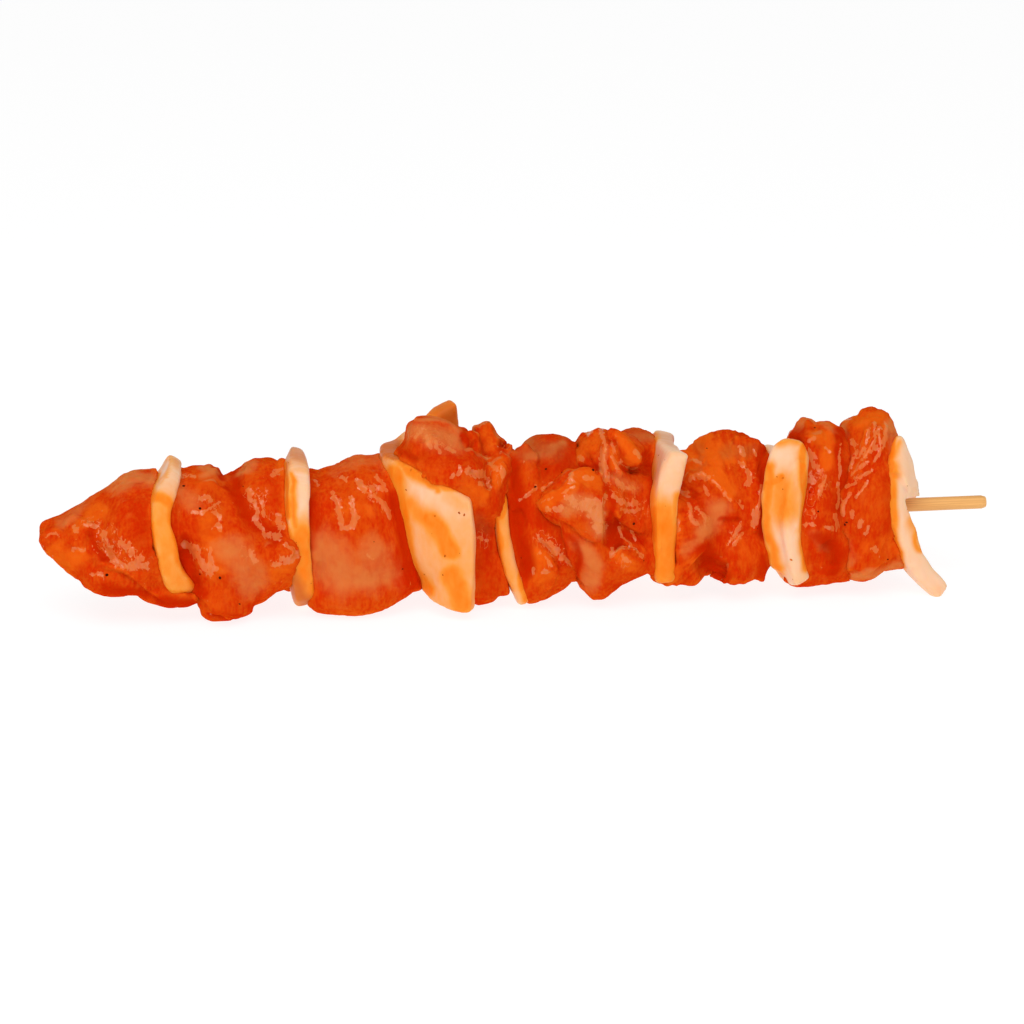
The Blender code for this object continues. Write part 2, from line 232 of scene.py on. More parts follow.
class Noise:
    """Smooth random values over space, between -1 and 1, the same on every run."""

    TABLE = 8192

    def __init__(self, seed: int) -> None:
        """Draws the table of random values for this seed."""
        self.values = np.random.default_rng(seed).random(self.TABLE) * 2.0 - 1.0

    def at(self, points: np.ndarray) -> np.ndarray:
        """Returns one value for each row of x, y, z, with features about one unit wide."""
        cell = np.floor(points).astype(np.int64)
        part = points - cell
        ease = part * part * part * (part * (part * 6.0 - 15.0) + 10.0)
        total = np.zeros(len(points))
        for corner in range(8):
            step = np.array((corner & 1, corner >> 1 & 1, corner >> 2 & 1))
            key = (cell + step) * (73856093, 19349663, 83492791)
            index = (key[:, 0] ^ key[:, 1] ^ key[:, 2]) % self.TABLE
            weight = np.where(step == 1, ease, 1.0 - ease).prod(axis=1)
            total += self.values[index] * weight
        return total

    def layers(self, points: np.ndarray, count: int, gain: float = 0.5) -> np.ndarray:
        """Returns the sum of count layers, each half the size of the last and gain times its height."""
        total = np.zeros(len(points))
        height = 1.0
        for layer in range(count):
            total += self.at(points * 2.0**layer + 17.3 * layer) * height
            height *= gain
        return total


class Form(Enum):
    """What a stroke does to the skin."""

    GROOVE = "groove"
    RIDGE = "ridge"
    LEFT_OVER = "the side on the left of the path lies over the other"
    RIGHT_OVER = "the side on the right of the path lies over the other"


class Tint(Enum):
    """What a patch of colour is, painted light and shade among them. The value is the name of the skin's attribute."""

    PALE = "pale"
    # Deep red: partly the marinade lying thick, partly painted shade in hollows and creases.
    DEEP_AND_PAINTED_SHADE = "deep"
    # Brighter orange: partly the marinade's own, partly painted light on ridges, on lit places and along the onion.
    BRIGHT_AND_PAINTED_LIGHT = "bright"
    # Brown places: mostly their own colour; two patches on the onion are painted shade.
    BROWN = "brown"
    WRINKLED = "wrinkled"
    # Wet places: a real glossy coat, and a painted highlight laid into the colour.
    WET_AND_PAINTED_HIGHLIGHT = "wet"
    STAIN = "stain"
    WHITE = "white"


@dataclass(frozen=True)
class Track:
    """A smooth curve through a few places on the chart. One place alone is a spot."""

    places: tuple[Place, ...]

    STEPS = 6

    def curve(self) -> np.ndarray:
        """Returns the places of a Catmull-Rom curve through the track's own."""
        own = [np.array(place) for place in self.places]
        if len(own) < 3:
            return np.array(own)
        ends = [2.0 * own[0] - own[1], *own, 2.0 * own[-1] - own[-2]]
        made = []
        for before, start, stop, after in zip(ends, ends[1:], ends[2:], ends[3:]):
            for step in range(self.STEPS):
                t = step / self.STEPS
                made.append(
                    0.5
                    * (
                        2.0 * start
                        + (stop - before) * t
                        + (2.0 * before - 5.0 * start + 4.0 * stop - after) * t**2
                        + (3.0 * start - before - 3.0 * stop + after) * t**3
                    )
                )
        made.append(own[-1])
        return np.array(made)

    def measure(self, chart: np.ndarray) -> tuple[np.ndarray, np.ndarray, np.ndarray]:
        """Measures every chart place against the track.

        Args:
            chart: rows of x, z.

        Returns:
            The distance in mm, the side (1 on the left of the way it runs, -1 on the right), and the
            share of the way along it, from 0 to 1, of each.
        """
        curve = self.curve()
        if len(curve) == 1:
            distance = np.linalg.norm(chart - curve[0], axis=1)
            return distance, np.ones(len(chart)), np.full(len(chart), 0.5)
        best = np.full(len(chart), np.inf)
        side = np.ones(len(chart))
        along = np.zeros(len(chart))
        legs = len(curve) - 1
        for index, (start, stop) in enumerate(zip(curve, curve[1:])):
            leg = stop - start
            share = np.clip(((chart - start) @ leg) / (leg @ leg), 0.0, 1.0)
            off = chart - start - share[:, None] * leg
            distance = np.hypot(off[:, 0], off[:, 1])
            nearer = distance < best
            best[nearer] = distance[nearer]
            turn = leg[0] * off[:, 1] - leg[1] * off[:, 0]
            side[nearer] = np.sign(turn[nearer])
            along[nearer] = (index + share[nearer]) / legs
        return best, side, along


@dataclass(frozen=True)
class Stroke:
    """One fold, groove or ridge: its form, the places it runs through, its width and height in mm."""

    form: Form
    track: Track
    width: float
    height: float

    EDGE = 0.45

    def heights(self, chart: np.ndarray) -> np.ndarray:
        """Returns how far the stroke lifts each chart place."""
        distance, side, along = self.track.measure(chart)
        ends = smooth_step(along, 0.0, 0.15) * smooth_step(1.0 - along, 0.0, 0.15)
        if len(self.track.places) == 1:
            ends = np.ones(len(chart))
        near = np.exp(-((distance / self.width) ** 2))
        if self.form is Form.GROOVE:
            return -self.height * near * ends
        if self.form is Form.RIDGE:
            return self.height * near * ends
        over = side if self.form is Form.LEFT_OVER else -side
        lifted = smooth_step(distance * over, -self.EDGE, self.EDGE) * np.exp(-distance / self.width)
        sunk = np.exp(-((distance / (2.0 * self.EDGE)) ** 2)) * (over < 0.0)
        return self.height * (lifted - 0.6 * sunk) * ends


@dataclass(frozen=True)
class Patch:
    """One patch of colour, of painted light or shade, or of texture, with a soft edge, as far as reach from its track.
    """

    tint: Tint
    track: Track
    reach: float
    amount: float = 1.0

    def amounts(self, chart: np.ndarray) -> np.ndarray:
        """Returns the patch's strength at each chart place."""
        distance = self.track.measure(chart)[0] / self.reach
        if self.tint in (Tint.STAIN, Tint.WHITE):
            return self.amount * np.exp(-0.9 * distance**2)
        return self.amount * smooth_step(1.0 - distance / 1.15, 0.0, 0.9)


@dataclass(frozen=True)
class Knob:
    """A small lump on the skin: its place on the chart, its radii, its turn, and how deep it sits.

    turn is in degrees about the line of sight, and sink is in mm behind the surface.
    """

    place: Place
    radii: tuple[float, float, float]
    turn: float = 0.0
    sink: float = 0.5


@dataclass(frozen=True)
class Flap:
    """A flat-sided lump of flesh. Each corner is x and z on the chart, and its height over the skin.

    foremost is whether the corners lie over whatever solid is in front, not over the lump's own.
    """

    corners: tuple[tuple[float, float, float], ...]
    depth: float = 3.0
    spread: float = 2.5
    foremost: bool = False


@dataclass(frozen=True)
class Nudge:
    """A soft pull on the skin around a place on the chart, by so many mm in x and z."""

    place: Place
    shift: Place
    reach: float


class Skin:
    """A closed mesh of four-sided faces that is worked in arrays, in mm."""

    def __init__(self, mesh: bpy.types.Mesh) -> None:
        """Takes the mesh, whose faces keep their order from here on."""
        self.mesh = mesh
        flat = np.empty(len(mesh.vertices) * 3, np.float32)
        mesh.vertices.foreach_get("co", flat)
        self.points = flat.reshape(-1, 3).astype(float) / MM
        loops = np.empty(len(mesh.loops), np.int32)
        mesh.loops.foreach_get("vertex_index", loops)
        self.quads = loops.reshape(-1, 4)
        edges = np.empty(len(mesh.edges) * 2, np.int32)
        mesh.edges.foreach_get("vertices", edges)
        self.edges = edges.reshape(-1, 2)
        self.degree = np.bincount(edges, minlength=len(self.points)).astype(float)
        self.tints = {tint: np.zeros(len(self.points)) for tint in Tint}

    def average(self, values: np.ndarray) -> np.ndarray:
        """Returns, for each point, the mean of its neighbours' values."""
        count = len(self.points)
        first, second = self.edges.T
        columns = values.reshape(count, -1).T
        sums = [
            np.bincount(first, column[second], count) + np.bincount(second, column[first], count)
            for column in columns
        ]
        return (np.array(sums) / self.degree).T.reshape(values.shape)

    def pull(self, nudges: tuple[Nudge, ...]) -> None:
        """Pulls parts of the skin along the chart, through its whole depth."""
        for nudge in nudges:
            off = np.linalg.norm(SIGHT.chart(self.points, False) - nudge.place, axis=1)
            self.points[:, (0, 2)] += np.exp(-((off / nudge.reach) ** 2))[:, None] * nudge.shift

    def soften(self, times: int) -> None:
        """Rounds the skin's edges and fills its sharp hollows."""
        for _ in range(times):
            self.points += 0.5 * (self.average(self.points) - self.points)

    def normals(self) -> np.ndarray:
        """Returns each point's outward unit normal."""
        corners = self.points[self.quads]
        faces = np.cross(corners[:, 2] - corners[:, 0], corners[:, 3] - corners[:, 1])
        count = len(self.points)
        sums = [
            np.bincount(self.quads.ravel(), np.repeat(column, 4), count) for column in faces.T
        ]
        normals = np.array(sums).T
        return normals / np.maximum(np.linalg.norm(normals, axis=1), 1e-9)[:, None]

    def push(self, heights: np.ndarray) -> None:
        """Moves every point along its normal."""
        self.points += self.normals() * heights[:, None]

    def press(self, crowd: "Crowd", reach: float) -> None:
        """Presses the skin against its neighbours, which closes the gaps and the grooves between them.

        Args:
            crowd: the neighbours.
            reach: how far away a neighbour may be, in mm.
        """
        normals = self.normals()
        amounts = np.zeros(len(self.points))
        for tree, share in crowd.trees:
            for index, (point, normal) in enumerate(zip(self.points, normals)):
                distance = tree.ray_cast(Vector(point), Vector(normal), reach)[3]
                if distance is not None:
                    ease = 1.0 - (distance / reach) ** 2
                    amounts[index] = max(amounts[index], share * distance * ease)
        for _ in range(6):
            amounts += 0.5 * (self.average(amounts) - amounts)
        self.points += normals * amounts[:, None]

    def hollows(self, times: int) -> np.ndarray:
        """Returns how far each point lies under the skin smoothed that many times, in mm."""
        soft = self.points.copy()
        for _ in range(times):
            soft += 0.6 * (self.average(soft) - soft)
        return ((soft - self.points) * self.normals()).sum(axis=1)

    def finish(self, name: str, material: bpy.types.Material, slot: str, node: str) -> bpy.types.Object:
        """Turns the skin into the finished piece.

        Args:
            name: the piece's name.
            material: its finish.
            slot: the record's material slot.
            node: the solid that it stands for.

        Returns:
            The finished object.
        """
        self.points[:, 2] = np.maximum(self.points[:, 2], 0.0)
        for axis, sign, edge in ((1, -1.0, 15.5), (2, 1.0, 40.5)):
            over = np.maximum(sign * self.points[:, axis] - edge, 0.0)
            self.points[:, axis] -= sign * (over - 1.9 * np.tanh(over / 1.9))
        self.mesh.vertices.foreach_set("co", (self.points * MM).astype(np.float32).ravel())
        for tint, values in self.tints.items():
            if values.any():
                attribute = self.mesh.attributes.new(tint.value, "FLOAT", "POINT")
                attribute.data.foreach_set("value", np.clip(values, 0.0, 1.0).astype(np.float32))
        self.mesh.update()
        self.mesh.shade_smooth()
        self.mesh.materials.clear()
        self.mesh.materials.append(material)
        piece = bpy.data.objects.new(name, self.mesh)
        bpy.context.scene.collection.objects.link(piece)
        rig.replaces(piece, node)
        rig.slot(piece, slot)
        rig.ride(piece, "root")
        LOG.info("%s: %d faces", name, len(self.quads))
        return piece


def merged_copy(node: str) -> bmesh.types.BMesh:
    """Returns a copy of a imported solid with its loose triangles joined, in metres."""
    shape = bmesh.new()
    shape.from_mesh(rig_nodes()[node].data)
    bmesh.ops.remove_doubles(shape, verts=shape.verts, dist=0.002 * MM)
    bmesh.ops.recalc_face_normals(shape, faces=shape.faces)
    return shape


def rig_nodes() -> dict[str, bpy.types.Object]:
    """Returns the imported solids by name."""
    return {obj["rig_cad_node"]: obj for obj in bpy.data.objects if "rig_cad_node" in obj}


@functools.cache
def row_tree() -> BVHTree:
    """Returns the surface of all the food, in metres."""
    row = bmesh.new()
    for node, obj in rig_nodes().items():
        if node != "skewer":
            row.from_mesh(obj.data)
    tree = BVHTree.FromBMesh(row)
    row.free()
    return tree


def add_knob(shape: bmesh.types.BMesh, tree: BVHTree, knob: Knob) -> None:
    """Adds a knob as an ellipsoid where its line of sight meets the surface.

    Args:
        shape: the copy of the solid, in metres.
        tree: its surface, in metres.
        knob: the knob.
    """
    start, direction = SIGHT.ray(knob.place)
    hit, _, _, _ = tree.ray_cast(start * MM, direction)
    if hit is None:
        hit, _, _, _ = tree.find_nearest(Vector((knob.place[0], -8.0, knob.place[1])) * MM)
    centre = hit + direction * knob.sink * MM
    view = Euler((math.radians(-SIGHT.elevation), 0.0, math.radians(SIGHT.azimuth))).to_matrix()
    turned = view @ Matrix.Rotation(math.radians(-knob.turn), 3, "Y")
    place = Matrix.Translation(centre) @ (turned @ Matrix.Diagonal(knob.radii) * MM).to_4x4()
    bmesh.ops.create_icosphere(shape, subdivisions=3, radius=1.0, matrix=place)


def add_flap(shape: bmesh.types.BMesh, tree: BVHTree, flap: Flap) -> None:
    """Adds a flap as the hull of its corners, each of them once over and once under the surface.

    Args:
        shape: the copy of the solid, in metres.
        tree: its surface, in metres.
        flap: the flap.
    """
    rays = [SIGHT.ray(corner[:2]) for corner in flap.corners]
    ground = row_tree() if flap.foremost else tree
    hits = [ground.ray_cast(start * MM, direction)[0] for start, direction in rays]
    found = [hit.y for hit in hits if hit is not None]
    middle = min(found) if flap.foremost else float(np.median(found))
    corners = []
    for (start, direction), hit, corner in zip(rays, hits, flap.corners):
        limit = middle + flap.spread * MM
        level = limit if hit is None else min(max(hit.y, middle - flap.spread * MM), limit)
        depth = (level - start.y * MM) / direction.y
        for rise in (corner[2], -flap.depth):
            corners.append(shape.verts.new(start * MM + direction * (depth - rise * MM)))
    bmesh.ops.convex_hull(shape, input=corners)


def fused_skin(node: str, lumps: tuple[Knob | Flap, ...], voxel: float) -> Skin:
    """Copies a solid, adds its knobs and flaps and fuses all into one fine skin.

    Args:
        node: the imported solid's name.
        lumps: what is added to it.
        voxel: the size of the skin's faces in mm.

    Returns:
        The skin.
    """
    shape = merged_copy(node)
    tree = BVHTree.FromBMesh(shape)
    for lump in lumps:
        if isinstance(lump, Knob):
            add_knob(shape, tree, lump)
        else:
            add_flap(shape, tree, lump)
    rough = bpy.data.meshes.new(f"{node}_rough")
    shape.to_mesh(rough)
    shape.free()
    holder = bpy.data.objects.new(f"{node}_rough", rough)
    bpy.context.scene.collection.objects.link(holder)
    remesh = holder.modifiers.new("Fuse", "REMESH")
    remesh.mode = "VOXEL"
    remesh.voxel_size = (voxel * 2.0 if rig.quick() else voxel) * MM
    graph = bpy.context.evaluated_depsgraph_get()
    mesh = bpy.data.meshes.new_from_object(holder.evaluated_get(graph))
    bpy.data.objects.remove(holder)
    bpy.data.meshes.remove(rough)
    mesh.name = node
    return Skin(mesh)


class Crowd:
    """The solids around one piece, each kind with the share of the gap that the piece may take."""

    def __init__(self, node: str) -> None:
        """Collects every solid but the piece's own."""
        self.trees = []
        for kind, share in (("chicken", 0.6), ("onion", 0.95)):
            shape = bmesh.new()
            for other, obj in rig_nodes().items():
                if other.startswith(kind) and other != node:
                    shape.from_mesh(obj.data)
            bmesh.ops.scale(shape, vec=(1.0 / MM,) * 3, verts=shape.verts)
            self.trees.append((BVHTree.FromBMesh(shape), share))
            shape.free()

    def closeness(self, points: np.ndarray, kind: int, reach: float) -> np.ndarray:
        """Returns from 0 to 1 how close each point is to the chicken (kind 0) or the onion (kind 1)."""
        tree = self.trees[kind][0]
        found = [tree.find_nearest(Vector(point), reach)[3] for point in points]
        gaps = np.array([reach if gap is None else gap for gap in found])
        return smooth_step(1.0 - gaps / reach, 0.0, 1.0)


@dataclass(frozen=True)
class Fibres:
    """The grain of a chunk's muscle.

    lean is the way the fibres run, in degrees from +X towards +Z. fan is the place that they spread
    from, if they do. pitch and depth are in mm.
    """

    lean: float = 80.0
    pitch: float = 1.3
    depth: float = 0.05
    fan: Place | None = None

    def heights(self, points: np.ndarray, chart: np.ndarray, noise: Noise) -> np.ndarray:
        """Returns the relief of the fibres at each point."""
        if self.fan:
            off = chart - self.fan
            spread = np.arctan2(off[:, 1], off[:, 0])
            reach = np.hypot(off[:, 0], off[:, 1])
            grain = np.stack((spread * 11.0 / self.pitch, reach / 9.0, points[:, 1] / 9.0), axis=1)
            share = smooth_step(reach, 8.0, 15.0)
        else:
            share = 1.0
            lean = math.radians(self.lean)
            across = points[:, 2] * math.cos(lean) - points[:, 0] * math.sin(lean)
            way = points[:, 0] * math.cos(lean) + points[:, 2] * math.sin(lean)
            grain = np.stack((across / self.pitch, way / 8.0, points[:, 1] / (2.2 * self.pitch)), axis=1)
        wave = noise.layers(grain, 2)
        return self.depth * share * (1.0 - 2.0 * np.abs(wave))


@dataclass
class ChickenChunk:
    """One chunk of marinated chicken: its grain, knobs, strokes and patches of colour."""

    node: str
    seed: int
    fibres: Fibres = field(default_factory=Fibres)
    lumps: tuple[Knob | Flap, ...] = ()
    strokes: tuple[Stroke, ...] = ()
    patches: tuple[Patch, ...] = ()
    nudges: tuple[Nudge, ...] = ()
    swell: float = 0.12
    voxel: float = 0.36
    softness: int = 9
    reach: float = 4.5
    lump_size: float = 7.5
    lump_height: float = 0.35
    crease_size: float = 9.0
    crease_depth: float = 0.5
    wrinkle_size: float = 1.7
    wrinkle_height: float = 0.2
    streaks: float = 0.22

    def build(self, material: bpy.types.Material) -> bpy.types.Object:
        """Builds the chunk and returns the finished object."""
        skin = fused_skin(self.node, self.lumps, self.voxel)
        skin.soften(self.softness)
        skin.pull(self.nudges)
        crowd = Crowd(self.node)
        skin.press(crowd, self.reach)
        self.work_masses(skin)
        self.work_strokes(skin)
        self.work_surface(skin)
        self.colour(skin, crowd)
        return skin.finish(f"{self.node}_meat", material, "chicken", self.node)

    def work_masses(self, skin: Skin) -> None:
        """Swells the chunk against its neighbours and makes it uneven, with random creases."""
        noise = Noise(self.seed)
        points = skin.points
        lumps = noise.layers(points / self.lump_size, 2)
        warp = np.stack([noise.at(points / 7.0 + shift) for shift in (31.0, 57.0, 83.0)], axis=1)
        field_ = noise.at(points / self.crease_size + 0.55 * warp + 9.0)
        creases = np.exp(-((field_ / 0.07) ** 2))
        front = SIGHT.facing(points, skin.normals(), False)
        depth = self.crease_depth * (1.0 - 0.7 * front)
        skin.push(self.swell + self.lump_height * lumps - depth * creases)

    def work_strokes(self, skin: Skin) -> None:
        """Works the chunk's own folds and grooves into both sides."""
        for far in (False, True):
            facing = SIGHT.facing(skin.points, skin.normals(), far)
            chart = self.side_chart(skin.points, far)
            heights = np.zeros(len(chart))
            for stroke in self.strokes:
                heights += stroke.heights(chart)
            skin.push(heights * facing)

    def side_chart(self, points: np.ndarray, far: bool) -> np.ndarray:
        """Returns the chart of one side. The far side's is turned round about the chunk's middle."""
        chart = SIGHT.chart(points, far)
        if far:
            middle = (points[:, 0].min() + points[:, 0].max()) / 2.0
            chart[:, 0] = 2.0 * middle - chart[:, 0]
        return chart

    def work_surface(self, skin: Skin) -> None:
        """Adds the muscle's fibres and the small wet wrinkles."""
        noise = Noise(self.seed + 100)
        chart = SIGHT.chart(skin.points, False)
        zones = 0.4 * smooth_step(noise.at(skin.points / 6.0), 0.0, 0.6)
        for patch in self.patches:
            if patch.tint is Tint.WRINKLED:
                zones = np.maximum(zones, patch.amounts(chart))
        fibres = self.fibres.heights(skin.points, chart, noise)
        warp = np.stack([noise.at(skin.points / 2.5 + shift) for shift in (11.0, 23.0, 47.0)], axis=1)
        wrinkles = 1.0 - 2.0 * np.abs(noise.at(skin.points / self.wrinkle_size + 0.8 * warp))
        fine = noise.at(skin.points / 0.9 + 5.0)
        skin.push(fibres + (self.wrinkle_height * wrinkles + 0.06 * fine) * (0.08 + 0.92 * zones))

    def colour(self, skin: Skin, crowd: Crowd) -> None:
        """Lays down the chunk's patches and fibres, paints shade into its hollows, and paints light on its ridges and
        where it meets the onion.
        """
        noise = Noise(self.seed + 200)
        normals = skin.normals()
        for far in (False, True):
            facing = SIGHT.facing(skin.points, normals, far)
            chart = self.side_chart(skin.points, far)
            soft = blurred(chart, skin.points, noise, 6.0, 1.3)
            crisp = blurred(chart, skin.points, noise, 1.5, 0.35)
            for patch in self.patches:
                values = skin.tints[patch.tint]
                amounts = patch.amounts(crisp if patch.tint is Tint.WET_AND_PAINTED_HIGHLIGHT else soft)
                np.maximum(values, amounts * facing, out=values)
        hollows = skin.hollows(12)
        deep = skin.tints[Tint.DEEP_AND_PAINTED_SHADE]
        # Painted shade: the hollows of the skin are darkened towards the deep red.
        np.maximum(deep, smooth_step(hollows, 0.12, 0.75), out=deep)
        bright = skin.tints[Tint.BRIGHT_AND_PAINTED_LIGHT]
        # Painted light: the ridges of the skin are made brighter.
        np.maximum(bright, smooth_step(-hollows, 0.1, 0.6), out=bright)
        # Painted light: the meat is made brighter where it meets the onion, which lifts the shade of the crevice there.
        np.maximum(bright, 0.6 * crowd.closeness(skin.points, 1, 1.8), out=bright)
        grain = self.fibres.heights(skin.points, SIGHT.chart(skin.points, False), noise)
        grain *= self.streaks / self.fibres.depth
        deep += np.maximum(-grain, 0.0)
        bright += np.maximum(grain, 0.0)


@dataclass
class OnionPiece:
    """One curved piece of onion: its layer lines, stains and white places."""

    node: str
    seed: int
    patches: tuple[Patch, ...] = ()
    strokes: tuple[Stroke, ...] = ()
    lumps: tuple[Knob | Flap, ...] = ()
    nudges: tuple[Nudge, ...] = ()
    swell: float = 0.42
    voxel: float = 0.34
    wave_size: float = 6.0
    wave_height: float = 0.35
    vein_pitch: float = 1.6
    vein_depth: float = 0.06

    def build(self, material: bpy.types.Material) -> bpy.types.Object:
        """Builds the piece and returns the finished object."""
        skin = fused_skin(self.node, self.lumps, self.voxel)
        skin.soften(18)
        skin.pull(self.nudges)
        noise = Noise(self.seed)
        points = skin.points
        waves = noise.layers(points / self.wave_size, 2)
        veins = noise.at(points / (9.0, self.vein_pitch, 14.0) + 3.0)
        skin.push(self.swell + self.wave_height * waves * 0.6 + self.vein_depth * veins)
        normals = skin.normals()
        for far in (False, True):
            facing = SIGHT.facing(skin.points, normals, far)
            chart = SIGHT.chart(skin.points, far)
            heights = np.zeros(len(chart))
            for stroke in self.strokes:
                heights += stroke.heights(chart)
            skin.points += normals * (heights * facing)[:, None]
            chart = blurred(chart, skin.points, noise, 4.0, 0.7)
            for patch in self.patches:
                values = skin.tints[patch.tint]
                np.maximum(values, patch.amounts(chart) * facing, out=values)
        stain = skin.tints[Tint.STAIN]
        np.maximum(stain, 1.3 * Crowd(self.node).closeness(skin.points, 0, 2.2), out=stain)
        return skin.finish(f"{self.node}_flesh", material, "onion", self.node)


@dataclass
class BambooStick:
    """The round stick, slightly uneven, with its blunt end at +X and its point inside the meat."""

    node: str = "skewer"
    sides: int = 40
    rings: int = 220
    point_length: float = 12.0
    rounding: float = 0.3
    unevenness: float = 0.035
    seed: int = 71

    def build(self, material: bpy.types.Material) -> bpy.types.Object:
        """Turns the stick and returns the finished object."""
        low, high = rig.box(self.node)
        radius = (high.z - low.z) / 2.0 / MM
        start, stop = low.x / MM, high.x / MM
        height = (high.z + low.z) / 2.0 / MM
        noise = Noise(self.seed)
        shape = bmesh.new()
        loops = []
        for ring in range(self.rings + 1):
            share = ring / self.rings
            x = start + (stop - start) * share
            taper = min(1.0, (x - start) / self.point_length + 0.04)
            left = stop - x
            if left < self.rounding:
                taper *= 1.0 - 0.2 * (1.0 - left / self.rounding) ** 2
            angles = np.linspace(0.0, 2.0 * math.pi, self.sides, endpoint=False)
            around = np.stack(
                (np.full(self.sides, x / 14.0), 2.0 * np.cos(angles), 2.0 * np.sin(angles)), axis=1
            )
            radii = radius * taper * (1.0 - self.unevenness * (0.5 + 0.5 * noise.at(around)))
            loops.append(
                [
                    shape.verts.new((x, r * math.cos(a), height + r * math.sin(a)))
                    for r, a in zip(radii, angles)
                ]
            )
        for one, two in zip(loops, loops[1:]):
            for index in range(self.sides):
                after = (index + 1) % self.sides
                shape.faces.new((one[index], one[after], two[after], two[index]))
        shape.faces.new(loops[0][::-1])
        shape.faces.new(loops[-1])
        bmesh.ops.recalc_face_normals(shape, faces=shape.faces)
        bmesh.ops.scale(shape, vec=(MM, MM, MM), verts=shape.verts)
        mesh = bpy.data.meshes.new("bamboo_stick")
        shape.to_mesh(mesh)
        shape.free()
        mesh.shade_smooth()
        mesh.set_sharp_from_angle(angle=math.radians(50.0))
        mesh.materials.append(material)
        piece = bpy.data.objects.new("bamboo_stick", mesh)
        bpy.context.scene.collection.objects.link(piece)
        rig.replaces(piece, self.node)
        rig.slot(piece, "stick")
        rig.ride(piece, "root")
        return piece


@dataclass
class SpiceSpecks:
    """Ground pepper and spice stuck to the meat or the onion, scattered by Geometry Nodes."""

    name: str
    density: float
    size: float
    seed: int
    marks: tuple[Place, ...] = ()
    mark_size: float = 0.45

    def build(self, pieces: list[bpy.types.Object], material: bpy.types.Material, slot: str) -> None:
        """Scatters the specks over finished pieces.

        Args:
            pieces: what they stick to.
            material: their finish.
            slot: the record's material slot.
        """
        shape = bmesh.new()
        for piece in pieces:
            shape.from_mesh(piece.data)
        ground = bpy.data.meshes.new(f"{self.name}_ground")
        shape.to_mesh(ground)
        shape.free()
        holder = bpy.data.objects.new(f"{self.name}_ground", ground)
        bpy.context.scene.collection.objects.link(holder)
        tree = self.scatter_tree(material)
        modifier = holder.modifiers.new("Scatter", "NODES")
        modifier.node_group = tree
        sockets = {
            item.name: item.identifier
            for item in tree.interface.items_tree
            if item.item_type == "SOCKET" and item.in_out == "INPUT"
        }
        modifier[sockets["Density"]] = self.density
        modifier[sockets["Size"]] = self.size * MM
        modifier[sockets["Seed"]] = self.seed
        graph = bpy.context.evaluated_depsgraph_get()
        mesh = bpy.data.meshes.new_from_object(holder.evaluated_get(graph))
        bpy.data.objects.remove(holder)
        self.add_marks(mesh, ground)
        bpy.data.meshes.remove(ground)
        mesh.name = self.name
        mesh.materials.clear()
        mesh.materials.append(material)
        specks = bpy.data.objects.new(self.name, mesh)
        bpy.context.scene.collection.objects.link(specks)
        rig.slot(specks, slot)
        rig.ride(specks, "root")
        LOG.info("%s: %d faces", self.name, len(mesh.polygons))

    def add_marks(self, mesh: bpy.types.Mesh, ground: bpy.types.Mesh) -> None:
        """Adds the larger specks that sit at known places.

        Args:
            mesh: the scattered specks, which the marks are added to.
            ground: the surface that they sit on.
        """
        shape = bmesh.new()
        shape.from_mesh(ground)
        tree = BVHTree.FromBMesh(shape)
        shape.free()
        made = bmesh.new()
        made.from_mesh(mesh)
        rng = np.random.default_rng(self.seed)
        for place in self.marks:
            start, direction = SIGHT.ray(place)
            hit, normal, _, _ = tree.ray_cast(start * MM, direction)
            if hit is None:
                continue
            size = self.mark_size * rng.uniform(0.7, 1.2) * MM
            stretch = Matrix.Diagonal((size, size * rng.uniform(0.55, 0.9), size * 0.35, 1.0))
            lay = normal.to_track_quat("Z", "Y").to_matrix().to_4x4()
            spin = Matrix.Rotation(rng.uniform(0.0, math.tau), 4, "Z")
            bmesh.ops.create_icosphere(
                made, subdivisions=2, radius=1.0, matrix=Matrix.Translation(hit) @ lay @ spin @ stretch
            )
        for corner in made.verts:
            corner.co.z = max(corner.co.z, 0.0)
        made.to_mesh(mesh)
        made.free()

    def scatter_tree(self, material: bpy.types.Material) -> bpy.types.NodeTree:
        """Returns the tree that scatters flat grains over a mesh, with its Density, Size and Seed."""
        tree = bpy.data.node_groups.new(f"{self.name}_scatter", "GeometryNodeTree")
        face = tree.interface
        face.new_socket("Geometry", in_out="INPUT", socket_type="NodeSocketGeometry")
        face.new_socket("Density", in_out="INPUT", socket_type="NodeSocketFloat")
        face.new_socket("Size", in_out="INPUT", socket_type="NodeSocketFloat")
        face.new_socket("Seed", in_out="INPUT", socket_type="NodeSocketInt")
        face.new_socket("Geometry", in_out="OUTPUT", socket_type="NodeSocketGeometry")
        graph = Graph(tree)
        given = graph.node("NodeGroupInput")
        points = graph.node(
            "GeometryNodeDistributePointsOnFaces",
            {"distribute_method": "RANDOM"},
            {"Mesh": given.out("Geometry"), "Density": given.out("Density"), "Seed": given.out("Seed")},
        )
        grain = graph.node(
            "GeometryNodeMeshIcoSphere", {}, {"Radius": given.out("Size"), "Subdivisions": 1}
        )
        scale = graph.node(
            "FunctionNodeRandomValue",
            {"data_type": "FLOAT_VECTOR"},
            {0: (0.45, 0.45, 0.3), 1: (1.3, 1.1, 0.55), "Seed": given.out("Seed")},
        )
        placed = graph.node(
            "GeometryNodeInstanceOnPoints",
            {},
            {
                "Points": points.out("Points"),
                "Instance": grain.out("Mesh"),
                "Rotation": points.out("Rotation"),
                "Scale": scale.out(0),
            },
        )
        real = graph.node("GeometryNodeRealizeInstances", {}, {"Geometry": placed.out(0)})
        done = graph.node(
            "GeometryNodeSetMaterial", {}, {"Geometry": real.out(0), "Material": material}
        )
        graph.node("NodeGroupOutput", {}, {"Geometry": done.out(0)})
        return tree


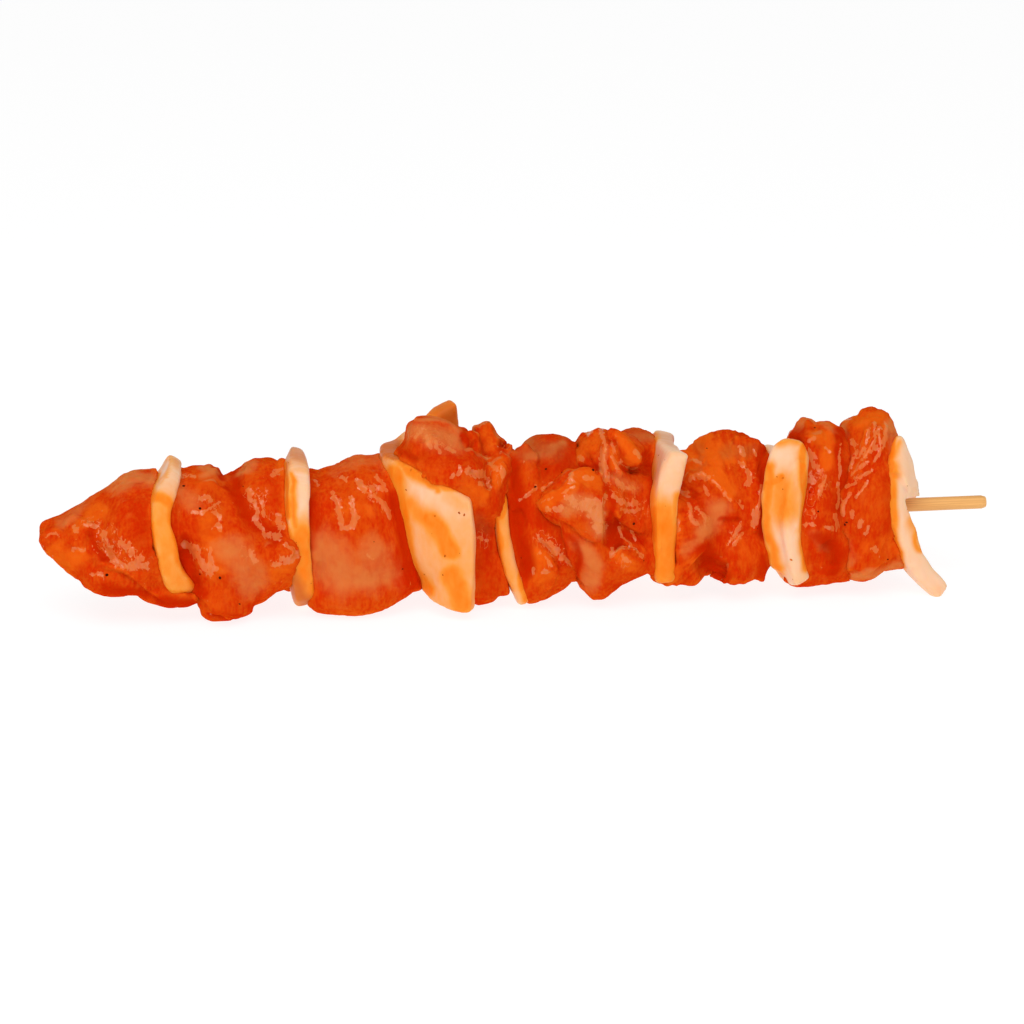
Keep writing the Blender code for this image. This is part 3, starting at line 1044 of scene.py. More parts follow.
class Wire:
    """One output of a node. Python's operators turn numbers on wires into Math nodes."""

    def __init__(self, graph: "Graph", node: bpy.types.Node, socket: bpy.types.NodeSocket | None) -> None:
        """Wraps a node and the output that stands for it."""
        self.graph = graph
        self.node = node
        self.socket = socket

    def out(self, key: str | int) -> "Wire":
        """Returns another output of the same node."""
        return Wire(self.graph, self.node, self.node.outputs[key])

    def math(self, operation: str, first: "Wire | float", second: "Wire | float") -> "Wire":
        """Returns a Math node's result."""
        return self.graph.node("ShaderNodeMath", {"operation": operation}, {0: first, 1: second})

    def __add__(self, other: "Wire | float") -> "Wire":
        """Returns the sum."""
        return self.math("ADD", self, other)

    __radd__ = __add__

    def __sub__(self, other: "Wire | float") -> "Wire":
        """Returns the difference."""
        return self.math("SUBTRACT", self, other)

    def __rsub__(self, other: float) -> "Wire":
        """Returns the difference from a number."""
        return self.math("SUBTRACT", other, self)

    def __mul__(self, other: "Wire | float") -> "Wire":
        """Returns the product."""
        return self.math("MULTIPLY", self, other)

    __rmul__ = __mul__

    def eased(self, low: float, high: float) -> "Wire":
        """Returns the value eased from 0 at low to 1 at high."""
        return self.graph.node(
            "ShaderNodeMapRange",
            {"interpolation_type": "SMOOTHSTEP"},
            {"Value": self, "From Min": low, "From Max": high},
        )


class Graph:
    """A node tree that is written as expressions."""

    def __init__(self, tree: bpy.types.NodeTree) -> None:
        """Takes the tree."""
        self.tree = tree

    def node(self, kind: str, settings: dict | None = None, values: dict | None = None) -> Wire:
        """Adds a node.

        Args:
            kind: the node's type.
            settings: its own settings, set first. "stops" are a ramp's places and colours.
            values: a number, colour or wire for each of its inputs, by name or number.

        Returns:
            The node's first enabled output.
        """
        node = self.tree.nodes.new(kind)
        for key, value in (settings or {}).items():
            if key == "stops":
                ramp = node.color_ramp
                while len(ramp.elements) < len(value):
                    ramp.elements.new(0.5)
                for element, (place, colour) in zip(ramp.elements, value):
                    element.position = place
                    element.color = colour
            else:
                setattr(node, key, value)
        for key, value in (values or {}).items():
            if isinstance(value, Wire):
                self.tree.links.new(value.socket, node.inputs[key])
            else:
                node.inputs[key].default_value = value
        outputs = [socket for socket in node.outputs if socket.enabled]
        return Wire(self, node, outputs[0] if outputs else None)

    def blend(self, share: Wire | float, first: Wire | Colour, second: Wire | Colour) -> Wire:
        """Returns the colour between first and second at that share."""
        return self.node(
            "ShaderNodeMix", {"data_type": "RGBA", "clamp_factor": True}, {0: share, 6: first, 7: second}
        )

    def place(self) -> Wire:
        """Returns the Object coordinates."""
        return self.node("ShaderNodeTexCoord").out("Object")

    def stretched(self, size: tuple[float, float, float]) -> Wire:
        """Returns Object coordinates in which a feature of that size in mm is one unit."""
        scale = tuple(1.0 / (side * MM) for side in size)
        return self.node("ShaderNodeMapping", {}, {"Vector": self.place(), "Scale": scale})

    def cloud(self, size: float | tuple[float, float, float], detail: float = 2.0) -> Wire:
        """Returns noise between 0 and 1 with features of that size in mm."""
        sides = size if isinstance(size, tuple) else (size, size, size)
        return self.node(
            "ShaderNodeTexNoise", {}, {"Vector": self.stretched(sides), "Scale": 1.0, "Detail": detail}
        )

    def thread(self, size: tuple[float, float, float], width: float) -> Wire:
        """Returns 1 on thin winding lines over a noise of that size in mm, and 0 elsewhere."""
        return self.node("ShaderNodeMath", {"operation": "COMPARE"}, {0: self.cloud(size), 1: 0.5, 2: width})

    def tint(self, tint: Tint) -> Wire:
        """Returns one of the skin's own attributes."""
        settings = {"attribute_name": tint.value, "attribute_type": "GEOMETRY"}
        return self.node("ShaderNodeAttribute", settings).out("Fac")

    def bump(self, height: Wire, distance: float, strength: float = 1.0) -> Wire:
        """Returns a normal bumped by height, which is distance mm deep."""
        return self.node(
            "ShaderNodeBump", {}, {"Height": height, "Distance": distance * MM, "Strength": strength}
        )


def new_finish(name: str) -> tuple[bpy.types.Material, Graph]:
    """Returns a new material, emptied of nodes, and its graph."""
    material = bpy.data.materials.new(name)
    material.use_nodes = True
    material.node_tree.nodes.clear()
    return material, Graph(material.node_tree)


def close_finish(graph: Graph, values: dict) -> None:
    """Ends a finish in a Principled shader with these values."""
    shader = graph.node("ShaderNodeBsdfPrincipled", {}, values)
    graph.node("ShaderNodeOutputMaterial", {}, {"Surface": shader})


@dataclass(frozen=True)
class MeatFinish:
    """Wet raw chicken in an orange-red marinade, with painted highlights, painted shade and painted light laid into its
    colour.
    """

    red: Colour = (0.63, 0.028, 0.0012, 1.0)
    orange: Colour = (0.70, 0.077, 0.0034, 1.0)
    # The brighter orange: partly the marinade's own, partly painted light on ridges, lit places and along the onion.
    bright: Colour = (0.84, 0.136, 0.0060, 1.0)
    pale: Colour = (0.70, 0.190, 0.0450, 1.0)
    # The deep red: partly marinade pooled thick, partly painted shade in hollows and creases.
    deep: Colour = (0.55, 0.020, 0.0004, 1.0)
    brown: Colour = (0.44, 0.105, 0.0220, 1.0)
    # Painted highlight: a paler colour laid on the wet places, standing for the reflection of the key light.
    painted_highlight: Colour = (0.80, 0.260, 0.0580, 1.0)

    def material(self) -> bpy.types.Material:
        """Returns the finish as a material."""
        material, graph = new_finish("Marinated chicken")
        clouds = graph.cloud(8.0, 3.0)
        streaks = graph.cloud((0.8, 0.8, 4.0), 3.0)
        mottle = graph.cloud(2.6, 3.0)
        fine = graph.cloud((0.5, 0.5, 0.9), 3.0)
        tone = clouds * 0.3 + mottle * 0.2 + streaks * 0.26 + fine * 0.24
        base = graph.blend(tone.eased(0.4, 0.6), self.red, self.orange)
        bright = (graph.tint(Tint.BRIGHT_AND_PAINTED_LIGHT) + 0.7 * mottle - 0.35).eased(0.1, 1.1)
        base = graph.blend(bright * 0.65, base, self.bright)
        pale = (graph.tint(Tint.PALE) + 0.9 * mottle - 0.45).eased(0.0, 1.15)
        base = graph.blend(pale * 0.9, base, self.pale)
        base = graph.blend(graph.tint(Tint.BROWN) * 0.8, base, self.brown)
        # Painted shade, in part: the deep places are blended to the darker red.
        base = graph.blend((graph.tint(Tint.DEEP_AND_PAINTED_SHADE) * 1.1).eased(0.0, 1.2), base, self.deep)
        shreds = graph.cloud((0.9, 0.9, 1.6), 3.0)
        wet = (graph.tint(Tint.WET_AND_PAINTED_HIGHLIGHT) * 0.75 + 1.8 * shreds + 0.5 * fine - 1.15).eased(0.4, 0.5)
        wrinkled = (graph.tint(Tint.WRINKLED) + 1.2 * (mottle - 0.5)).eased(0.5, 0.7)
        # Thin lines and specks of painted glint in the wrinkled places, which also take the coat.
        threads = graph.thread((1.5, 1.5, 3.0), 0.012)
        sparks = (graph.cloud((0.5, 0.5, 0.9), 1.0) + 0.5 * clouds).eased(1.0, 1.02)
        wet = (wet + (threads + sparks) * wrinkled).eased(0.0, 1.0)
        core = (wet + 1.5 * fine).eased(1.65, 1.95)
        # Painted highlight: the wet places are blended towards the highlight colour; the coat over them is a real
        # gloss.
        base = graph.blend(wet * 0.45, base, self.painted_highlight)
        close_finish(
            graph,
            {
                "Base Color": base,
                "Roughness": 0.4,
                "Specular IOR Level": 0.0,
                "Coat Weight": wet * 0.3 + core * 0.7,
                "Coat Roughness": 0.05,
                "Coat IOR": 1.5,
                "Subsurface Weight": 0.35,
                "Subsurface Radius": (1.0, 0.2, 0.06),
                "Subsurface Scale": 0.0022,
                "Normal": graph.bump(fine, 0.07),
            },
        )
        return material


@dataclass(frozen=True)
class OnionFinish:
    """Moist cream-white onion with orange marinade soaked into it."""

    cream: Colour = (0.92, 0.46, 0.200, 1.0)
    white: Colour = (0.95, 0.60, 0.390, 1.0)
    stain: Colour = (0.96, 0.32, 0.035, 1.0)
    strong: Colour = (0.97, 0.20, 0.002, 1.0)
    # The brown: the onion's own brown-grey edges, and painted shade at the bottom of the second piece and the top of
    # the fifth.
    brown: Colour = (0.57, 0.125, 0.020, 1.0)

    def material(self) -> bpy.types.Material:
        """Returns the finish as a material."""
        material, graph = new_finish("Onion")
        streaks = graph.cloud((6.0, 0.9, 7.0), 3.0)
        smear = graph.cloud(6.0, 3.0)
        patchy = graph.cloud((1.6, 1.6, 2.6), 4.0)
        base = graph.blend((streaks * 0.4 + smear * 0.6).eased(0.4, 0.62), self.cream, self.white)
        base = graph.blend(graph.tint(Tint.WHITE) * 0.8, base, self.white)
        stained = graph.tint(Tint.STAIN)
        soaked = (stained + 0.35 * (patchy - 0.5) + 0.3 * (smear - 0.5)).eased(-0.1, 0.9)
        base = graph.blend(soaked, base, self.stain)
        strong = (stained + 0.5 * (patchy - 0.5)).eased(0.68, 1.2)
        base = graph.blend(strong, base, self.strong)
        base = graph.blend(graph.tint(Tint.BROWN) * 0.8, base, self.brown)
        close_finish(
            graph,
            {
                "Base Color": base,
                "Roughness": 0.3 + 0.15 * smear,
                "Specular IOR Level": 0.08,
                "Subsurface Weight": 0.5,
                "Subsurface Radius": (1.0, 0.6, 0.3),
                "Subsurface Scale": 0.0025,
                "Normal": graph.bump(graph.cloud((3.0, 0.7, 5.0), 3.0), 0.1),
            },
        )
        return material


@dataclass(frozen=True)
class BambooFinish:
    """Plain pale bamboo with fine fibres along it."""

    light: Colour = (0.90, 0.47, 0.14, 1.0)
    dark: Colour = (0.74, 0.36, 0.10, 1.0)

    def material(self) -> bpy.types.Material:
        """Returns the finish as a material."""
        material, graph = new_finish("Bamboo")
        fibres = graph.cloud((16.0, 0.22, 0.22), 4.0)
        flecks = graph.cloud((3.0, 0.12, 0.12), 2.0).eased(0.66, 0.76)
        base = graph.blend(fibres.eased(0.35, 0.7), self.light, self.dark)
        base = graph.blend(flecks * 0.3, base, self.dark)
        close_finish(
            graph,
            {
                "Base Color": base,
                "Roughness": 0.5 + 0.15 * fibres,
                "Normal": graph.bump(fibres, 0.06),
            },
        )
        return material


@dataclass(frozen=True)
class SpeckFinish:
    """Ground spice."""

    name: str
    light: Colour
    dark: Colour

    def material(self) -> bpy.types.Material:
        """Returns the finish as a material."""
        material, graph = new_finish(self.name)
        base = graph.blend(graph.cloud(1.5, 1.0).eased(0.4, 0.6), self.dark, self.light)
        close_finish(graph, {"Base Color": base, "Roughness": 0.6, "Specular IOR Level": 0.0})
        return material


@dataclass
class Studio:
    """The pale floor, the soft lights and the camera."""

    floor_size: float = 6.0
    floor_colour: Colour = (0.2, 0.2, 0.2, 1.0)
    floor_glow: Colour = (0.85, 0.85, 0.85, 1.0)
    surround: float = 0.46

    def build(self) -> None:
        """Builds the studio."""
        self.add_floor()
        self.add_world()
        self.add_light("key", (-0.12, -0.46, 0.72), (0.0, 0.0, 0.015), (0.95, 0.50), 4.1)
        self.add_light("front", (-0.25, -0.80, 0.14), (0.0, 0.0, 0.015), (0.40, 0.22), 0.8)
        self.add_camera()

    def add_floor(self) -> None:
        """Adds the floor, which isn't part of the object."""
        half = self.floor_size / 2.0
        mesh = bpy.data.meshes.new("floor")
        corners = [(-half, -half, 0.0), (half, -half, 0.0), (half, half, 0.0), (-half, half, 0.0)]
        mesh.from_pydata(corners, [], [(0, 1, 2, 3)])
        material, graph = new_finish("Floor")
        glow = {"Emission Color": self.floor_glow, "Emission Strength": 1.0}
        close_finish(graph, {"Base Color": self.floor_colour, "Roughness": 0.9, **glow})
        mesh.materials.append(material)
        floor = bpy.data.objects.new("floor", mesh)
        bpy.context.scene.collection.objects.link(floor)
        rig.stage(floor)

    def add_world(self) -> None:
        """Adds the even white surroundings."""
        world = bpy.data.worlds.new("Studio")
        world.use_nodes = True
        sky = world.node_tree.nodes["Background"]
        sky.inputs["Color"].default_value = (1.0, 1.0, 1.0, 1.0)
        sky.inputs["Strength"].default_value = self.surround
        bpy.context.scene.world = world

    def add_light(
        self,
        name: str,
        place: tuple[float, float, float],
        aim: tuple[float, float, float],
        size: tuple[float, float],
        power: float,
    ) -> None:
        """Adds a soft box.

        Args:
            name: its name.
            place: where it stands, in metres.
            aim: the place that it points at.
            size: its width and height in metres.
            power: its power in watts.
        """
        lamp = bpy.data.lights.new(name, "AREA")
        lamp.shape = "RECTANGLE"
        lamp.size, lamp.size_y = size
        lamp.energy = power
        light = bpy.data.objects.new(name, lamp)
        light.location = place
        light.rotation_euler = (Vector(aim) - Vector(place)).to_track_quat("-Z", "Y").to_euler()
        bpy.context.scene.collection.objects.link(light)

    def add_camera(self) -> None:
        """Adds the camera on the line of sight and makes it the scene's own."""
        lens = bpy.data.cameras.new("camera")
        lens.lens = SIGHT.lens
        lens.sensor_width = SIGHT.sensor
        lens.clip_start = 0.01
        camera = bpy.data.objects.new("camera", lens)
        camera.location = Vector(SIGHT.eye()) * MM
        camera.rotation_euler = Vector(-SIGHT.back()).to_track_quat("-Z", "Y").to_euler()
        bpy.context.scene.collection.objects.link(camera)
        bpy.context.scene.camera = camera
        bpy.context.scene.view_settings.view_transform = "Standard"


def fold(form: Form, width: float, height: float, *places: Place) -> Stroke:
    """Returns a stroke through these places."""
    return Stroke(form, Track(places), width, height)


def patch(tint: Tint, reach: float, amount: float, *places: Place) -> Patch:
    """Returns a patch along these places."""
    return Patch(tint, Track(places), reach, amount)


def nudge(x: float, z: float, aside: float, up: float, reach: float) -> Nudge:
    """Returns a nudge at a place on the chart."""
    return Nudge((x, z), (aside, up), reach)


def tip_chunk() -> ChickenChunk:
    """Returns the pointed chunk at -X, with its curled end and its long wrinkled flap."""
    strokes = (
        fold(Form.RIDGE, 0.9, 0.8, (-101.8, 15.2), (-101.2, 17.4), (-99.7, 18.5), (-98.2, 17.9), (-97.3, 15.9)),
        fold(Form.RIDGE, 0.7, 0.5, (-100.6, 15.9), (-99.6, 16.6), (-98.7, 15.6)),
        fold(Form.GROOVE, 0.8, 0.8, (-97.4, 15.7), (-96.1, 14.3), (-94.0, 14.4), (-92.6, 16.0), (-91.6, 18.5)),
        fold(Form.RIDGE, 0.7, 0.6, (-96.8, 18.6), (-96.2, 20.6), (-94.8, 21.3), (-93.6, 19.8), (-94.2, 17.4)),
        fold(Form.RIDGE, 0.6, 0.5, (-93.2, 20.8), (-92.4, 19.4), (-91.0, 19.6)),
        fold(Form.RIDGE, 1.0, 0.7, (-92.9, 16.2), (-91.2, 14.3), (-90.4, 11.9), (-89.4, 10.0)),
        fold(Form.GROOVE, 0.8, 0.6, (-90.4, 16.4), (-88.6, 13.0), (-87.4, 11.6)),
        fold(Form.LEFT_OVER, 3.0, 0.9, (-90.4, 11.0), (-89.0, 9.9), (-85.7, 8.9), (-82.2, 6.4), (-79.5, 3.6), (-75.0, 1.0)),
        fold(Form.GROOVE, 0.7, 0.5, (-92.0, 12.2), (-91.0, 9.5), (-89.0, 8.0)),
        fold(Form.RIDGE, 0.4, 0.2, (-85.3, 23.5), (-83.2, 24.3), (-80.8, 23.3)),
        fold(Form.GROOVE, 0.4, 0.25, (-88.4, 27.6), (-84.8, 28.8), (-79.5, 28.6)),
        fold(Form.GROOVE, 0.4, 0.2, (-87.0, 28.9), (-84.0, 30.3), (-79.5, 30.1)),
    )
    patches = (
        patch(Tint.PALE, 3.4, 0.85, (-88.4, 28.6), (-83.5, 30.6), (-78.0, 29.0)),
        patch(Tint.PALE, 1.8, 0.6, (-98.4, 21.0), (-94.0, 24.0), (-90.0, 26.6)),
        patch(Tint.BRIGHT_AND_PAINTED_LIGHT, 3.2, 0.9, (-100.2, 14.8), (-96.4, 11.0), (-93.6, 12.6)),
        patch(Tint.BRIGHT_AND_PAINTED_LIGHT, 2.6, 0.8, (-94.8, 19.4), (-92.4, 20.4), (-89.6, 22.0)),
        patch(Tint.DEEP_AND_PAINTED_SHADE, 3.8, 0.5, (-82.0, 23.0), (-81.0, 17.0), (-79.6, 12.0)),
        patch(Tint.DEEP_AND_PAINTED_SHADE, 2.4, 0.9, (-89.5, 5.0), (-84.5, 4.2), (-80.5, 3.2)),
        patch(Tint.DEEP_AND_PAINTED_SHADE, 1.6, 0.8, (-91.6, 17.8), (-89.8, 15.4), (-88.6, 12.6)),
        patch(Tint.DEEP_AND_PAINTED_SHADE, 2.5, 1.0, (-76.5, 0.8), (-71.0, 0.4)),
        patch(Tint.WRINKLED, 3.6, 1.0, (-88.0, 18.0), (-85.8, 13.6), (-82.0, 11.4)),
        patch(Tint.WRINKLED, 2.2, 1.0, (-93.0, 19.8), (-91.0, 19.4)),
        patch(Tint.WET_AND_PAINTED_HIGHLIGHT, 1.5, 1.0, (-88.9, 17.4), (-87.6, 12.6), (-85.3, 10.2), (-80.8, 10.1)),
        patch(Tint.WET_AND_PAINTED_HIGHLIGHT, 1.7, 0.9, (-85.2, 15.0), (-83.4, 13.4), (-81.4, 11.6)),
        patch(Tint.WET_AND_PAINTED_HIGHLIGHT, 1.2, 0.9, (-92.8, 20.2), (-91.0, 19.2)),
        patch(Tint.WET_AND_PAINTED_HIGHLIGHT, 0.9, 0.9, (-95.3, 19.3), (-94.9, 18.3)),
        patch(Tint.WET_AND_PAINTED_HIGHLIGHT, 0.8, 0.9, (-92.2, 8.6), (-90.4, 8.8), (-89.6, 7.6)),
        patch(Tint.WET_AND_PAINTED_HIGHLIGHT, 0.7, 0.9, (-95.6, 14.1), (-93.2, 14.4)),
        patch(Tint.WET_AND_PAINTED_HIGHLIGHT, 0.6, 0.9, (-101.2, 17.0), (-99.7, 18.2), (-98.4, 17.2)),
        patch(Tint.WET_AND_PAINTED_HIGHLIGHT, 0.5, 0.9, (-91.8, 15.0), (-90.8, 13.4)),
    )
    flaps = (
        Flap(((-102.2, 20.2, 0.2), (-99.9, 21.4, 0.2), (-97.5, 18.7, 0.8), (-97.1, 14.7, 0.8), (-100.1, 12.8, 0.3), (-102.0, 15.3, 0.2))),
        Flap(((-93.7, 6.9, 0.3), (-91.9, 4.4, 0.1), (-80.3, 3.6, 0.1), (-81.4, 8.2, 0.5), (-91.0, 9.9, 0.5))),
    )
    return ChickenChunk("chicken_1", 1, Fibres(20.0, 1.2, 0.07), flaps, strokes, patches)


def second_chunk() -> ChickenChunk:
    """Returns the saddle-shaped chunk with its nose to the right and its layered top."""
    strokes = (
        fold(Form.GROOVE, 1.6, 1.0, (-62.4, 30.4), (-60.4, 25.0), (-59.0, 19.8), (-56.4, 15.8), (-51.6, 14.2)),
        fold(Form.RIDGE, 1.6, 0.7, (-56.0, 13.4), (-52.2, 12.0), (-49.0, 11.2)),
        fold(Form.RIDGE, 0.6, 0.3, (-70.0, 27.0), (-66.0, 27.4), (-62.6, 26.0)),
        fold(Form.RIDGE, 0.6, 0.35, (-66.2, 30.0), (-63.5, 31.4), (-59.2, 31.8), (-55.6, 32.8)),
        fold(Form.RIDGE, 0.6, 0.35, (-59.4, 28.6), (-58.0, 30.8), (-55.4, 32.0)),
        fold(Form.GROOVE, 0.5, 0.3, (-64.6, 29.4), (-61.4, 30.4), (-58.6, 30.6)),
        fold(Form.LEFT_OVER, 2.4, 0.7, (-68.6, -0.6), (-65.0, -1.6), (-60.8, -2.2), (-57.8, -0.9)),
        fold(Form.GROOVE, 0.8, 0.4, (-72.6, 16.5), (-71.0, 11.0), (-69.4, 6.0)),
        fold(Form.RIDGE, 0.35, 0.25, (-57.2, 23.5), (-56.8, 20.0)),
        fold(Form.RIDGE, 0.35, 0.25, (-55.9, 24.0), (-55.4, 20.5)),
        fold(Form.RIDGE, 0.35, 0.25, (-54.8, 22.5), (-54.0, 19.6)),
    )
    patches = (
        patch(Tint.DEEP_AND_PAINTED_SHADE, 2.6, 0.9, (-61.5, 29.0), (-59.6, 23.5), (-58.0, 18.6), (-54.0, 15.0)),
        patch(Tint.DEEP_AND_PAINTED_SHADE, 1.8, 0.9, (-72.5, 16.5), (-71.0, 9.0), (-69.0, 3.0)),
        patch(Tint.DEEP_AND_PAINTED_SHADE, 1.4, 0.7, (-67.5, -1.5), (-60.0, -2.8)),
        patch(Tint.DEEP_AND_PAINTED_SHADE, 2.5, 0.5, (-55.0, 27.0), (-54.0, 23.0)),
        patch(Tint.PALE, 4.8, 0.75, (-63.0, 12.6), (-60.6, 9.6), (-58.6, 6.0)),
        patch(Tint.PALE, 3.2, 0.7, (-72.0, 27.5), (-70.5, 24.0)),
        patch(Tint.PALE, 1.8, 0.8, (-66.4, 29.8), (-62.0, 31.0), (-57.6, 31.6)),
        patch(Tint.BRIGHT_AND_PAINTED_LIGHT, 4.0, 0.8, (-67.5, 20.0), (-66.0, 14.0), (-65.0, 8.0)),
        patch(Tint.BRIGHT_AND_PAINTED_LIGHT, 3.0, 0.7, (-53.5, 6.0), (-49.6, 8.0)),
        patch(Tint.BRIGHT_AND_PAINTED_LIGHT, 2.0, 0.8, (-51.4, 31.0), (-50.9, 26.0)),
        patch(Tint.WRINKLED, 2.4, 0.9, (-69.0, 24.6), (-65.4, 23.0)),
        patch(Tint.WRINKLED, 2.6, 1.0, (-57.6, 25.0), (-55.8, 19.4)),
        patch(Tint.WRINKLED, 1.7, 0.9, (-60.6, 12.0), (-60.0, 8.4)),
        patch(Tint.WET_AND_PAINTED_HIGHLIGHT, 1.6, 1.0, (-72.2, 14.4), (-70.5, 12.9), (-68.8, 10.5), (-67.4, 7.9)),
        patch(Tint.WET_AND_PAINTED_HIGHLIGHT, 1.3, 1.0, (-70.4, 13.6), (-69.2, 13.0)),
        patch(Tint.WET_AND_PAINTED_HIGHLIGHT, 0.9, 1.0, (-66.9, 13.6), (-66.8, 9.0), (-65.8, 8.4)),
        patch(Tint.WET_AND_PAINTED_HIGHLIGHT, 0.8, 1.0, (-66.2, 21.4), (-64.9, 20.8), (-64.7, 18.0)),
        patch(Tint.WET_AND_PAINTED_HIGHLIGHT, 1.2, 1.0, (-65.2, 18.3), (-64.5, 17.8)),
        patch(Tint.WET_AND_PAINTED_HIGHLIGHT, 1.2, 0.9, (-68.4, 24.6), (-66.8, 24.4)),
        patch(Tint.WET_AND_PAINTED_HIGHLIGHT, 0.6, 0.9, (-70.6, 21.4), (-68.0, 21.6), (-64.6, 23.4)),
        patch(Tint.WET_AND_PAINTED_HIGHLIGHT, 1.2, 1.0, (-58.4, 26.0), (-57.9, 24.0)),
        patch(Tint.WET_AND_PAINTED_HIGHLIGHT, 0.7, 1.0, (-57.0, 23.5), (-56.6, 19.6)),
        patch(Tint.WET_AND_PAINTED_HIGHLIGHT, 0.6, 1.0, (-55.7, 23.5), (-55.2, 20.0)),
        patch(Tint.WET_AND_PAINTED_HIGHLIGHT, 0.9, 1.0, (-57.6, 19.6), (-55.9, 17.9), (-55.2, 16.0)),
        patch(Tint.WET_AND_PAINTED_HIGHLIGHT, 1.3, 1.0, (-55.4, 15.9), (-52.7, 15.3)),
        patch(Tint.WET_AND_PAINTED_HIGHLIGHT, 1.3, 1.0, (-52.1, 20.0), (-51.8, 17.2)),
        patch(Tint.WET_AND_PAINTED_HIGHLIGHT, 1.0, 1.0, (-53.0, 29.6), (-51.4, 30.2)),
        patch(Tint.WET_AND_PAINTED_HIGHLIGHT, 1.3, 1.0, (-58.4, 11.8), (-57.6, 10.0)),
        patch(Tint.WET_AND_PAINTED_HIGHLIGHT, 1.5, 1.0, (-53.2, 9.2), (-51.0, 9.9), (-48.9, 11.0)),
        patch(Tint.WET_AND_PAINTED_HIGHLIGHT, 0.6, 1.0, (-51.1, 13.8), (-49.2, 12.0), (-48.2, 10.4)),
        patch(Tint.WET_AND_PAINTED_HIGHLIGHT, 0.8, 1.0, (-72.0, 29.5), (-71.2, 29.6)),
        patch(Tint.WET_AND_PAINTED_HIGHLIGHT, 0.7, 1.0, (-70.0, 29.6), (-69.6, 29.5)),
    )
    flaps = (
        Flap(((-55.8, 17.0, 0.4), (-52.2, 15.3, 0.8), (-49.7, 12.5, 1.0), (-48.5, 9.7, 0.6), (-49.5, 6.8, 0.5), (-53.0, 3.1, 0.4), (-56.2, 1.7, 0.3), (-58.1, 10.3, 0.6), (-53.0, 10.1, 1.6))),
        Flap(((-69.2, 1.6, 0.2), (-69.1, -1.4, 0.1), (-67.2, -2.9, 0.0), (-62.1, -2.9, 0.1), (-58.6, -1.2, 0.2), (-57.4, 3.5, 0.5), (-66.1, 5.0, 0.5))),
    )
    nudges = (Nudge((-64.5, 29.5), (0.0, 1.1), 3.5),)
    return ChickenChunk("chicken_2", 2, Fibres(-15.0, 1.4, 0.05), flaps, strokes, patches, nudges)


